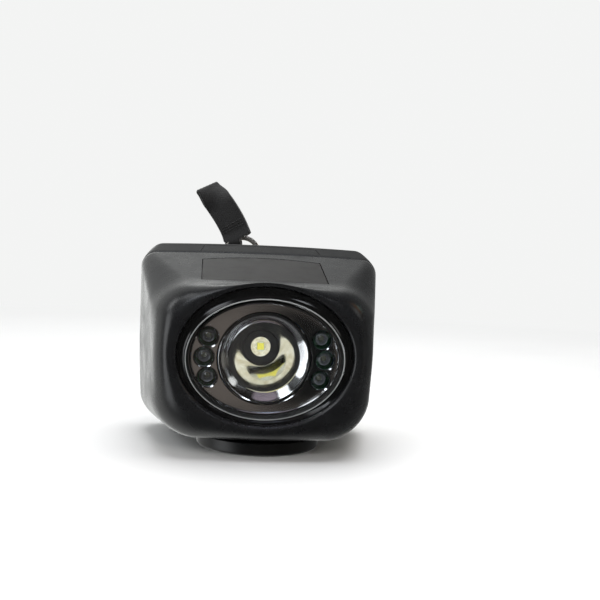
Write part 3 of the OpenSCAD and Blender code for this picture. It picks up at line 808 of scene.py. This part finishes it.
BOWL_STEP, BOWL_NECK = -5.2, -21.16
BOWL_FOCAL, BOWL_VERTEX = 1.235, 27.735
piece("reflector_bowl", *placed(beam, lathe(bowl_profile(), 160)), CHROME, "reflector_chrome",
      replaces=("reflector_cup",), sharp=24)
led_ring = lathe([(6.4, -24.55), (6.4, -21.3), (6.3, -21.2), (5.75, -21.2), (5.62, -21.35), (5.55, -22.0),
                  (5.3, -22.4), (3.9, -22.75), (3.35, -22.9), (3.1, -23.2), (3.22, -23.6), (3.28, -24.55),
                  (6.4, -24.55)], 96)
piece("led_ring", *placed(beam, led_ring), RING_BLACK, "ring_black", replaces=("led_centring_ring",),
      sharp=30)


def led_substrate():
    """Warm white ceramic with a yellowish coat of phosphor that thins out unevenly round the chip."""
    m = Paint("led_substrate", Roughness=0.4)
    patches = m.between(m.noise(900, 4, 0.65), 0.35, 0.65)
    m.set(Base_Color=m.mix(patches, (0.93, 0.90, 0.74, 1), (0.62, 0.55, 0.34, 1)))
    m.set(Normal=m.bump(m.noise(3000, 3), 0.3, 0.00004))
    return m.material


led_base = lathe([(0, -24.6), (3.15, -24.6), (3.2, -24.5), (3.2, -23.85), (3.05, -23.7), (1.9, -23.7),
                  (1.75, -23.85), (0, -23.85)], 64)
piece("main_led_base", *placed(beam, led_base), led_substrate(), "led_white", replaces=("main_led",),
      sharp=30)


def block(size, centre):
    """A box as points and faces."""
    corners = [(x, y, z) for z in (-1, 1) for x, y in ((-1, -1), (1, -1), (1, 1), (-1, 1))]
    p = np.array(corners) * np.array(size) / 2 + np.array(centre)
    return p, [(0, 3, 2, 1), (4, 5, 6, 7), (0, 1, 5, 4), (1, 2, 6, 5), (2, 3, 7, 6), (3, 0, 4, 7)]


def domed(profile, radius, base, height, rows, steps):
    """A turned profile that ends in a dome."""
    arc = [(radius * math.cos(a), base + height * math.sin(a))
           for a in np.linspace(0, math.pi / 2, rows)[1:-1]]
    return lathe(profile + arc + [(0, base + height)], steps)


def dome(radius, base, height, steps):
    return domed([(0, base), (radius, base)], radius, base, height, 14, steps)


# The chip wears the material with the painted glow.
chip = piece("main_led_chip", *placed(beam, block((1.5, 1.5, 0.25), (0, 0, -23.78))), PHOSPHOR_PAINTED_GLOW, "led_white")
bevel(chip, 0.06)
piece("main_led_dome", *placed(beam, dome(1.7, -23.64, 1.45, 40)), EPOXY, "led_clear", sharp=30)

# Small LEDs: a clear moulded body with its cup, posts and chip inside
AUX_BASE = -7.4
AUX_BODY = domed([(0, 0), (2.75, 0), (2.8, 0.08), (2.8, 0.72), (2.72, 0.8), (2.5, 0.84), (2.48, 2.9)],
                 2.48, 2.9, 2.25, 16, 48)
AUX_CUP = lathe([(0, 1.55), (0.55, 1.6), (0.95, 2.25), (1.15, 2.25), (1.05, 1.3), (0.5, 1.0), (0, 1.0)], 32)
AUX_LEADS = merged(AUX_CUP, block((0.7, 0.5, 1.0), (0, 0, 0.6)), block((0.8, 0.5, 2.0), (1.35, 0, 1.1)))
AUX_DIE = dome(0.5, 1.6, 0.3, 20)


def turned(part, angle):
    """A part turned about the beam."""
    c, s = math.cos(angle), math.sin(angle)
    return part[0] @ np.array([[c, s, 0], [-s, c, 0], [0, 0, 1]]), part[1]


for i, (x, y) in enumerate(AUX_PLACES, 1):
    shift = (x, y, AUX_BASE)
    piece(f"small_led_{i}", *placed(beam, moved(AUX_BODY, shift)), EPOXY, "led_clear",
          replaces=(f"aux_led_{i}",), sharp=40)
    leads = moved(turned(AUX_LEADS, 0.6 * i), shift)
    piece(f"small_led_{i}_frame", *placed(beam, leads), LEAD, "ring_nickel", sharp=30)
    piece(f"small_led_{i}_die", *placed(beam, moved(AUX_DIE, shift)), DIE, "led_white", sharp=30)

# ---- display
DISPLAY_Y = -27.05
FIGURE_FACE, FIGURE_BACK = -2.72, -2.82
module = piece("display_block", *placed(on_top, block((40.1, 11.9, 5.9), (0, DISPLAY_Y, -5.75))), MODULE,
               "module_black", replaces=("display_module",))
bevel(module, 0.3, 3)


def figure(centre):
    """The seven bars of one unlit figure."""
    width, height, thick, gap, slant = 4.6, 8.4, 0.95, 0.35, 0.16
    level = [(0, y, False) for y in (height / 2, 0, -height / 2)]
    upright = [(x, y, True) for y in (height / 4, -height / 4) for x in (width / 2, -width / 2)]
    bars = []
    for x, y, stands in level + upright:
        end, half = ((height / 2 if stands else width) - gap) / 2, thick / 2
        shape = [(-end, 0), (half - end, half), (end - half, half), (end, 0), (end - half, -half),
                 (half - end, -half)]
        shape = [(v, u) if stands else (u, v) for u, v in shape]
        shape = [(centre + x + u + (y + v) * slant, DISPLAY_Y + y + v) for u, v in shape]
        bars.append(loft([[(u, v, z) for u, v in shape] for z in (FIGURE_BACK, FIGURE_FACE)], (True, True)))
    return bars


figures = [bar for k in range(4) for bar in figure(-15 + 10 * k)]
dot = lathe([(0, FIGURE_BACK), (0.5, FIGURE_BACK), (0.5, FIGURE_FACE), (0, FIGURE_FACE)], 20)
figures += [moved(dot, (0.2, DISPLAY_Y + y, 0)) for y in (1.6, -1.6)]
piece("display_figures", *placed(on_top, merged(*figures)), SEGMENT, "led_white", sharp=30)

# ---- foot and button
FOOT_R, FOOT_H, BORE_R, STEM_HOLE_R = 19.5, 4.1, 10.0, 3.6
foot = lathe([(BORE_R, 0), (FOOT_R - 0.25, 0), (FOOT_R, -0.25), (FOOT_R, -3.1), (FOOT_R - 0.12, -3.5),
              (FOOT_R - 0.45, -3.85), (FOOT_R - 0.9, -FOOT_H), (17.2, -FOOT_H), (17.05, -3.95),
              (16.75, -3.95), (16.6, -FOOT_H), (BORE_R + 1.1, -FOOT_H), (BORE_R + 0.5, -3.95),
              (BORE_R + 0.1, -3.5), (BORE_R, -3.2), (BORE_R, 0)], 160)
stem_hole = lathe([(0, -1), (STEM_HOLE_R, -1), (STEM_HOLE_R, 4), (0, 4)], 48)
carve(shell, *placed(at_foot, stem_hole))
piece("round_foot", *placed(at_foot, foot), FOOT_BLACK, "foot_black", replaces=("foot_collar",), sharp=30)
button = lathe([(0, 3.5), (2.3, 3.5), (2.4, 3.4), (2.4, -1.4), (9.3, -1.45), (9.6, -1.7), (9.6, -2.2),
                (9.35, -2.62), (8.9, -2.8), (8.2, -2.74), (7.9, -2.55), (7.5, -2.55), (7.2, -2.74),
                (6.4, -2.72), (6.1, -2.52), (5.7, -2.52), (5.4, -2.7), (4.6, -2.66), (3.0, -2.5),
                (1.4, -2.4), (0, -2.38)], 128)
piece("push_button", *placed(at_foot, button), BUTTON, "button_rubber", body="button",
      replaces=("switch_button",), sharp=30)


SPRING_LOW, SPRING_HIGH = -1.45, -0.02
SPRING_WIRE = 0.13


def return_spring():
    """A conical spring, wide at its foot and narrow at its top; its end turns lie level."""
    turns, wide, narrow, clear_of_ends = 4, 7.2, 4.3, 0.15
    path = []
    for t in np.linspace(0, 1, 220):
        climb = float(smooth(0.12, 0.88, t))
        a, r = 2 * math.pi * turns * t, wide + (narrow - wide) * t
        path.append((r * math.cos(a), r * math.sin(a),
                     SPRING_LOW + clear_of_ends + (SPRING_HIGH - SPRING_LOW - 2 * clear_of_ends) * climb))
    return tube(path, SPRING_WIRE, 12)


spring = piece("return_spring", *placed(at_foot, return_spring()), SPRING, "spring_steel", body="button",
               replaces=("button_spring",), sharp=60)
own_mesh(spring)


# ---- helmet clip
CLIP_BACK, CLIP_STEEL, HOOK_GAP = 11.5, 1.2, 4.4
CLIP_SCREWS_X, CLIP_SCREWS_Z = 15.4, 28
HOOK_HALF_WIDTH, BEND_Z = 12, 41.5


def rounded_plate(width, low, high, radius, back, front, edge=0.2):
    """A plate in the x-z plane with rounded corners and softened edges."""
    rings = []
    for inset, y in ((edge, back), (0, back + edge), (0, front - edge), (edge * 0.3, front - edge * 0.3),
                     (edge, front)):
        r = radius - inset
        q = rounded_corners(width / 2 - inset, low + inset, high - inset, r, r, 8)
        rings.append(np.c_[q[:, 0], np.full(len(q), y), q[:, 1]])
    return loft(rings, (True, True))


clip = piece("clip_plate", *rounded_plate(38, 13, BEND_Z, 2.5, CLIP_BACK, CLIP_BACK + CLIP_STEEL), CLIP,
             "clip_steel", replaces=("helmet_clip",), sharp=30)
for x in (-CLIP_SCREWS_X, CLIP_SCREWS_X):
    carve(clip, *rod_y(x, CLIP_SCREWS_Z, 1.7, 9, 15), sharp=30)


def hook_mesh():
    """The hook: a folded strip with a pressed rib down its middle and a flared tip."""
    r = HOOK_GAP / 2 + CLIP_STEEL / 2
    y_mid = CLIP_BACK + CLIP_STEEL + HOOK_GAP / 2
    path = [(y_mid - r, z) for z in (36.5, 39, BEND_Z)]
    path += [(y_mid - r * math.cos(a), BEND_Z + r * math.sin(a)) for a in np.linspace(0, math.pi, 15)[1:]]
    path += [(y_mid + r, z) for z in np.linspace(41, 19.5, 22)]
    path += [(y_mid + r + out, z) for out, z in ((0.1, 18.4), (0.35, 17.2), (0.75, 15.6), (1.15, 14.2))]
    path = np.array(path)
    tangent = np.gradient(path, axis=0)
    tangent /= np.linalg.norm(tangent, axis=1)[:, None]
    normal = np.c_[-tangent[:, 1], tangent[:, 0]]
    across = np.linspace(-1, 1, 33)
    rings = []
    count = len(path)
    for i, (c, n) in enumerate(zip(path, normal)):
        tip = max(0.0, (i - (count - 5)) / 4)
        half = HOOK_HALF_WIDTH - 1.6 * tip ** 2
        on_face = float(smooth(22, 26, i)) * (1 - float(smooth(count - 9, count - 5, i)))
        top, under = [], []
        for u in across:
            x = u * half
            rib = -0.32 * on_face * math.exp(-((abs(x) - 6.5) / 1.1) ** 4)
            edge = 0.18 * max(0.0, (abs(u) - 0.965) / 0.035) ** 2
            o = CLIP_STEEL / 2 - edge
            top.append((x, c[0] + n[0] * (-o + rib), c[1] + n[1] * (-o + rib)))
            under.append((x, c[0] + n[0] * (o + rib), c[1] + n[1] * (o + rib)))
        rings.append(np.array(top + under[::-1]))
    return loft(rings, (True, True))


piece("clip_hook", *hook_mesh(), CLIP, "clip_steel", sharp=40)


# ---- lug, ring and strap
RING_AT = np.array([-5.6, 14.6, 56.8])
RING_R = 5.8
LUG_AT = np.array([RING_AT[1], 51.0])
LUG_R, LUG_HOLE_R, LUG_ROOT = 3.1, 1.5, 4.6


def lug_mesh():
    """The moulded lug that carries the ring: round behind, nearly square towards the cover, with its hole."""
    outer, inner = [], []
    for t in full_turn(48):
        c, q = math.cos(t), math.sin(t)
        inner.append(LUG_AT + LUG_HOLE_R * np.array([c, q]))
        if c < 0:
            outer.append(LUG_AT + np.array([-LUG_ROOT * (-c) ** 0.4,
                                            LUG_R * math.copysign(abs(q) ** 0.3, q)]))
        else:
            outer.append(LUG_AT + LUG_R * np.array([c, q]))
    rings = []
    for shape, x, grow in ((outer, -1.15, 0.0), (outer, -1.5, -0.35), (inner, -1.5, 0.3), (inner, -1.2, 0.0),
                           (inner, 1.2, 0.0), (inner, 1.5, 0.3), (outer, 1.5, -0.35), (outer, 1.15, 0.0)):
        d = np.array(shape) - LUG_AT
        q = LUG_AT + d * (1 + grow / np.linalg.norm(d, axis=1))[:, None]
        rings.append(np.c_[np.full(len(q), RING_AT[0] + x), q])
    return loft(rings, wrap=True)


piece("ring_lug", *lug_mesh(), COVER_BLACK, "housing_black", sharp=50)


def split_ring():
    """Two turns of flattened wire side by side, which cross over near the lug."""
    half_wide, half_deep, squareness = 0.85, 0.42, 0.6
    rings = []
    turns = np.linspace(0.0, 4 * math.pi - 0.25, 240)
    for i, t in enumerate(turns):
        a = t + math.radians(200)
        aside = -0.45 + 0.90 * float(smooth(2 * math.pi - 0.5, 2 * math.pi + 0.1, t))
        end = min(i, len(turns) - 1 - i)
        size = 0.55 if end == 0 else 0.85 if end == 1 else 1.0
        rows = []
        for q in full_turn(20):
            c, f = (math.copysign(abs(v) ** squareness, v) for v in (math.cos(q), math.sin(q)))
            r = RING_R + size * half_wide * c
            rows.append(RING_AT + np.array([r * math.cos(a), aside + size * half_deep * f, r * math.sin(a)]))
        rings.append(rows)
    return loft(rings, (True, True))


piece("split_ring", *split_ring(), NICKEL, "ring_nickel", body="strap_ring", replaces=("strap_ring",),
      sharp=40)

# The strap's middle line bends from the ring up to the fold. Its places are x and z.
STRAP_FOOT, STRAP_BEND, STRAP_TOP = np.array([(-6.9, 60.6), (-8.5, 68.2), (-18.6, 79.8)])
STRAP_TURN = math.radians(22)
STRAP_THICK = 0.95
STRAP_STEPS = 150
FOOT_TWIST, END_TWIST, TWISTED_LENGTH = math.radians(6), math.radians(55), 8.5


def strap_frames():
    """Points of the strap's middle line with the directions along it, across it and out of its front face."""
    u = np.linspace(0, 1, 4 * STRAP_STEPS)[:, None]
    line = (1 - u) ** 2 * STRAP_FOOT + 2 * u * (1 - u) * STRAP_BEND + u ** 2 * STRAP_TOP
    d = travelled(line)
    s = np.linspace(0, d[-1], STRAP_STEPS)
    x, z = (np.interp(s, d, line[:, k]) for k in (0, 1))
    lean = np.clip(-7 - x, -0.2, None)
    at = np.c_[x, RING_AT[1] + math.tan(STRAP_TURN) * lean, z]
    along = np.gradient(at, axis=0)
    along /= np.linalg.norm(along, axis=1)[:, None]
    front = np.array([-math.sin(STRAP_TURN), -math.cos(STRAP_TURN), 0])
    twists = FOOT_TWIST + (END_TWIST - FOOT_TWIST) * smooth(d[-1] - TWISTED_LENGTH, d[-1], s)
    frames = []
    for place, t, twist in zip(at, along, twists):
        n = front - t * (front @ t)
        n /= np.linalg.norm(n)
        w = np.cross(t, n)
        w = w if w[0] > 0 else -w
        c, q = math.cos(twist), math.sin(twist)
        frames.append((place, t, w * c - n * q, n * c + w * q))
    return frames, s


def webbing_edges(s):
    """How far the webbing reaches to each side: it is tucked in on the right where it goes round the ring."""
    open_up = float(smooth(1.1, 2.4, s))
    return 4.6 + 0.4 * open_up, 0.9 + 4.1 * open_up


def webbing():
    """One length of webbing, and its length: up behind, over a fold, down in front and round the ring."""
    frames, s = strap_frames()
    spread = [0.50 + 0.85 * (1 - float(smooth(0.5, 5.0, v))) for v in s]
    first, last = 4, STRAP_STEPS - 1
    # A station is its frame, how far it is in front of the middle line, the ply's outward direction to the
    # front and along the line, and a shift along the line.
    stations = [(i, -spread[i], -1.0, 0.0, 0.0) for i in range(first, last + 1)]
    stations += [(last, -spread[last] * math.cos(a), -math.cos(a), math.sin(a), 0.5 * math.sin(a))
                 for a in np.linspace(0, math.pi, 10)[1:-1]]
    stations += [(i, spread[i], 1.0, 0.0, 0.0) for i in range(last, first - 1, -1)]
    stations += [(first, spread[first] * math.cos(a), math.cos(a), -math.sin(a), -1.25 * math.sin(a))
                 for a in np.linspace(0, math.pi, 18)[1:-1]]
    middles = [frames[i][0] + frames[i][3] * depth + frames[i][1] * shift
               for i, depth, _, _, shift in stations]
    across, ribs, rib_height, row_length = 76, 13, 0.08, 0.9
    rings = []
    for (i, _, out_front, out_along, _), here, gone in zip(stations, middles, travelled(middles)):
        _, t, w, n = frames[i]
        left, right = webbing_edges(s[i])
        front, back = [], []
        for k in range(across + 1):
            u = k / across
            edge = max(0.0, (abs(2 * u - 1) - 0.9) / 0.1)
            thick = STRAP_THICK / 2 * math.sqrt(max(0.04, 1 - 0.8 * edge ** 2))
            row = 2 * math.pi * gone / row_length + math.pi * (int(u * ribs) % 2)
            rib = rib_height * math.sin(math.pi * ribs * u) ** 2 * (0.55 + 0.45 * math.sin(row)) * (1 - edge)
            for outward, side in ((1, front), (-1, back)):
                lift = outward * (thick + rib)
                aside = (left + right) * u - left
                side.append(here + w * aside + n * (out_front * lift) + t * (out_along * lift))
        rings.append(np.array(front + back[::-1]))
    closing = np.linalg.norm(rings[0].mean(0) - rings[-1].mean(0))
    points, faces = loft(rings, wrap=True)
    return points, faces, round((travelled(middles)[-1] + closing) * MM, 4)


def woven(name, base, light):
    """Woven nylon: fine fibres along the webbing, slightly shiny at a low angle."""
    m = Paint(name, Sheen_Weight=0.35, Sheen_Roughness=0.5, Specular_IOR_Level=0.25)
    fibres = m.noise(5200, 3, 0.6, m.stretch((1, 1, 0.35)))
    cloth = m.noise(420, 3)
    m.set(Base_Color=m.mix(m.between(fibres, 0.3, 0.75), base, m.mix(cloth, light, base)))
    m.set(Roughness=m.between(fibres, 0.3, 0.7, 0.62, 0.85))
    m.set(Normal=m.bump(fibres, 0.8, 0.00008))
    return m.material


WEBBING = woven("strap_webbing", grey(0.010), grey(0.026))
THREAD = woven("strap_thread", grey(0.018), grey(0.045))
strap_points, strap_faces, STRAP_LENGTH = webbing()
strap = piece("safety_strap", strap_points, strap_faces, WEBBING, "strap_webbing", body="strap_ring",
              replaces=("strap",), sharp=60)


def stitches():
    """Three rows of stitches through both plies, above the ring, seen on each face."""
    half_length, first, pitch = 0.45, -3.7, 1.2
    frames = strap_frames()[0]
    parts = []
    for row in (36, 42, 48):
        at, _, w, n = frames[row]
        for k in range(7):
            for side in (1, -1):
                path = []
                for q in np.linspace(-half_length, half_length, 7):
                    lift = 1.03 + 0.16 * math.cos(q / half_length * math.pi / 2)
                    path.append(at + w * (first + pitch * k + q) + n * (side * lift))
                parts.append(tube(path, 0.13, 8))
    return merged(*parts)


thread = piece("strap_stitches", *stitches(), THREAD, "strap_webbing", body="strap_ring", sharp=60)
strap.visible_glossy = False
thread.visible_glossy = False

# ---- stage, light and camera
BACKDROP = (0.90, 0.905, 0.90, 1)


def floor():
    """A pale floor that fades into the backdrop far from the lamp."""
    m = Paint("floor", Specular_IOR_Level=0.2)
    m.set(Base_Color=m.mix(m.noise(6, 4), (0.80, 0.80, 0.79, 1), (0.84, 0.84, 0.83, 1)))
    m.set(Roughness=m.between(m.noise(20, 4), 0.3, 0.7, 0.5, 0.7))
    m.set(Normal=m.bump(m.noise(400, 2), 0.05, 0.0002))
    away = m.between(m.vector_maths("LENGTH", "Value", m.coord), 0.14, 0.7)
    glow = m.made(m.node("Emission"), 0, BACKDROP)
    m.plug(m.out, m.mix_shaders(away, m.shader.outputs[0], glow))
    mesh = bpy.data.meshes.new("studio_floor")
    size, low = 20.0, -0.0001
    corners = [(size * x, size * y, low) for x, y in ((-1, -1), (1, -1), (1, 1), (-1, 1))]
    mesh.from_pydata(corners, [], [(0, 1, 2, 3)])
    mesh.materials.append(m.material)
    obj = bpy.data.objects.new("studio_floor", mesh)
    bpy.context.scene.collection.objects.link(obj)
    obj.visible_glossy = obj.visible_transmission = False


floor()

# Pale and dark cards that the polished parts mirror: azimuth, elevation, radius and softness in degrees,
# and colour
WINDOW_LIGHT, BULB = (2.2, 2.25, 2.3), (4.0, 4.2, 4.5)
CARDS = [(-70, -22, 16, 2, (1.9, 1.95, 2.0)), (-72, 4, 14, 2, WINDOW_LIGHT),
         (2, 62, 19, 3, (0.30, 0.25, 0.29)), (-58, 50, 11, 2, WINDOW_LIGHT), (-42, 44, 9, 2, WINDOW_LIGHT),
         (-3, -15, 7.2, 1.5, (0.115, 0.098, 0.086)), (68, 24, 7, 2, (1.2, 1.2, 1.15)),
         (72, -8, 11, 3, (0.20, 0.19, 0.17)), (86, 32, 7, 3, (0.9, 0.45, 0.2)), (98, 30, 4, 1, (1.0, 1.7, 1.5)),
         (0, 88, 10, 4, (1.3, 1.5, 1.95)), (-28, 31, 8, 2, BULB), (22, 24, 4, 1, BULB)]
# Brightness of the surroundings from straight in front of the lamp, 0, to straight behind it, 1
SKY = [(0.0, 0.012), (0.28, 0.02), (0.5, 0.25), (0.75, 0.62), (0.9, 0.46), (0.95, 0.9), (1.0, 2.2)]


def heading(azimuth, elevation):
    """The direction from the lamp to a place round it. Azimuth 0 is straight in front. Degrees."""
    a, e = math.radians(azimuth), math.radians(elevation)
    return (math.sin(a) * math.cos(e), -math.cos(a) * math.cos(e), math.sin(e))


def world():
    """Pale behind the lamp, dark in front of it and dimmer to its right. A camera sees a plain backdrop."""
    studio = bpy.data.worlds.new("studio")
    bpy.context.scene.world = studio
    studio.use_nodes = True
    t = Nodes(studio.node_tree)
    direction = t.node("TexCoord").outputs["Generated"]
    axes = t.node("SeparateXYZ")
    t.plug(axes.inputs[0], direction)
    ramp = t.node("ValToRGB")
    stops = ramp.color_ramp.elements
    for k, (at, v) in enumerate(SKY):
        stop = stops[k] if k < 2 else stops.new(at)
        stop.position, stop.color = at, (v * 0.985, v, v * 0.985, 1)
    sky = t.made(ramp, 0, t.between(axes.outputs["Y"], -1.0, 1.0))
    shade = t.node("VectorMath", operation="SCALE")
    t.plug(shade.inputs["Scale"], t.between(axes.outputs["X"], -0.1, 0.45, 1.0, 0.22))
    colour = t.made(shade, 0, sky)
    for azimuth, elevation, radius, soft, tint in CARDS:
        near = t.vector_maths("DOT_PRODUCT", "Value", direction, heading(azimuth, elevation))
        edges = (math.cos(math.radians(v)) for v in (radius + soft, max(radius - soft, 0)))
        colour = t.mix(t.between(near, *edges), colour, (*tint, 1))
    lit, seen = (t.made(t.node("Background"), 0, v) for v in (colour, BACKDROP))
    by_camera = t.node("LightPath").outputs["Is Camera Ray"]
    t.plug(t.node("OutputWorld").inputs[0], t.mix_shaders(by_camera, lit, seen))


world()


def lamp(data, place, aim, power, mirrored=False):
    """Puts a light at a place in metres, turned towards its aim."""
    data.energy = power
    obj = bpy.data.objects.new(data.name, data)
    obj.location = place
    obj.rotation_mode = "QUATERNION"
    obj.rotation_quaternion = (Vector(aim) - Vector(place)).to_track_quat("-Z", "Y")
    obj.visible_glossy = obj.visible_transmission = mirrored
    bpy.context.scene.collection.objects.link(obj)


def panel(name, width, height, colour=(1, 1, 1)):
    data = bpy.data.lights.new(name, "AREA")
    data.shape, data.size, data.size_y, data.color = "RECTANGLE", width, height, colour
    return data


AIM = (0, 0, 0.03)
LED_AT, SNOOT_AT = in_frame(beam([(0, 0, -23.5), (60, 120, 1000)]))
lamp(panel("overhead", 0.8, 0.8), (0.1, 0.1, 0.9), AIM, 9)
lamp(panel("front_fill", 0.4, 0.4, (1.0, 0.97, 0.92)), (0.15, -0.8, 0.5), AIM, 2.5)
snoot = bpy.data.lights.new("snoot", "SPOT")
snoot.spot_size, snoot.spot_blend, snoot.shadow_soft_size = math.radians(1.6), 0.5, 0.01
lamp(snoot, SNOOT_AT, LED_AT, 48)
lamp(panel("window_left", 0.28, 0.3, (0.97, 0.99, 1.0)), (-0.8, -0.08, 0.52), AIM, 0.8, mirrored=True)

# Camera at the photograph's viewing angle
TARGET = Vector(in_frame([(0, -25, 30)])[0])
ROLL = math.radians(2.24)
DISTANCE = 261.22 * MM
back = Vector(heading(-3.80, 5.41))
level = Vector((0, 0, 1)).cross(back).normalized()
upright = back.cross(level)
right = level * math.cos(ROLL) + upright * math.sin(ROLL)
up = upright * math.cos(ROLL) - level * math.sin(ROLL)
camera_data = bpy.data.cameras.new("camera")
camera_data.sensor_width, camera_data.lens = 36.0, 50.05
camera_data.shift_x, camera_data.shift_y = 0.0636, 0.0668
camera_data.clip_start, camera_data.clip_end = 0.01, 20
camera = bpy.data.objects.new("camera", camera_data)
bpy.context.scene.collection.objects.link(camera)
turn = Matrix((right, up, back)).transposed().to_4x4()
camera.matrix_world = Matrix.Translation(TARGET + back * DISTANCE) @ turn
bpy.context.scene.camera = camera
bpy.context.scene.view_settings.view_transform = "Standard"
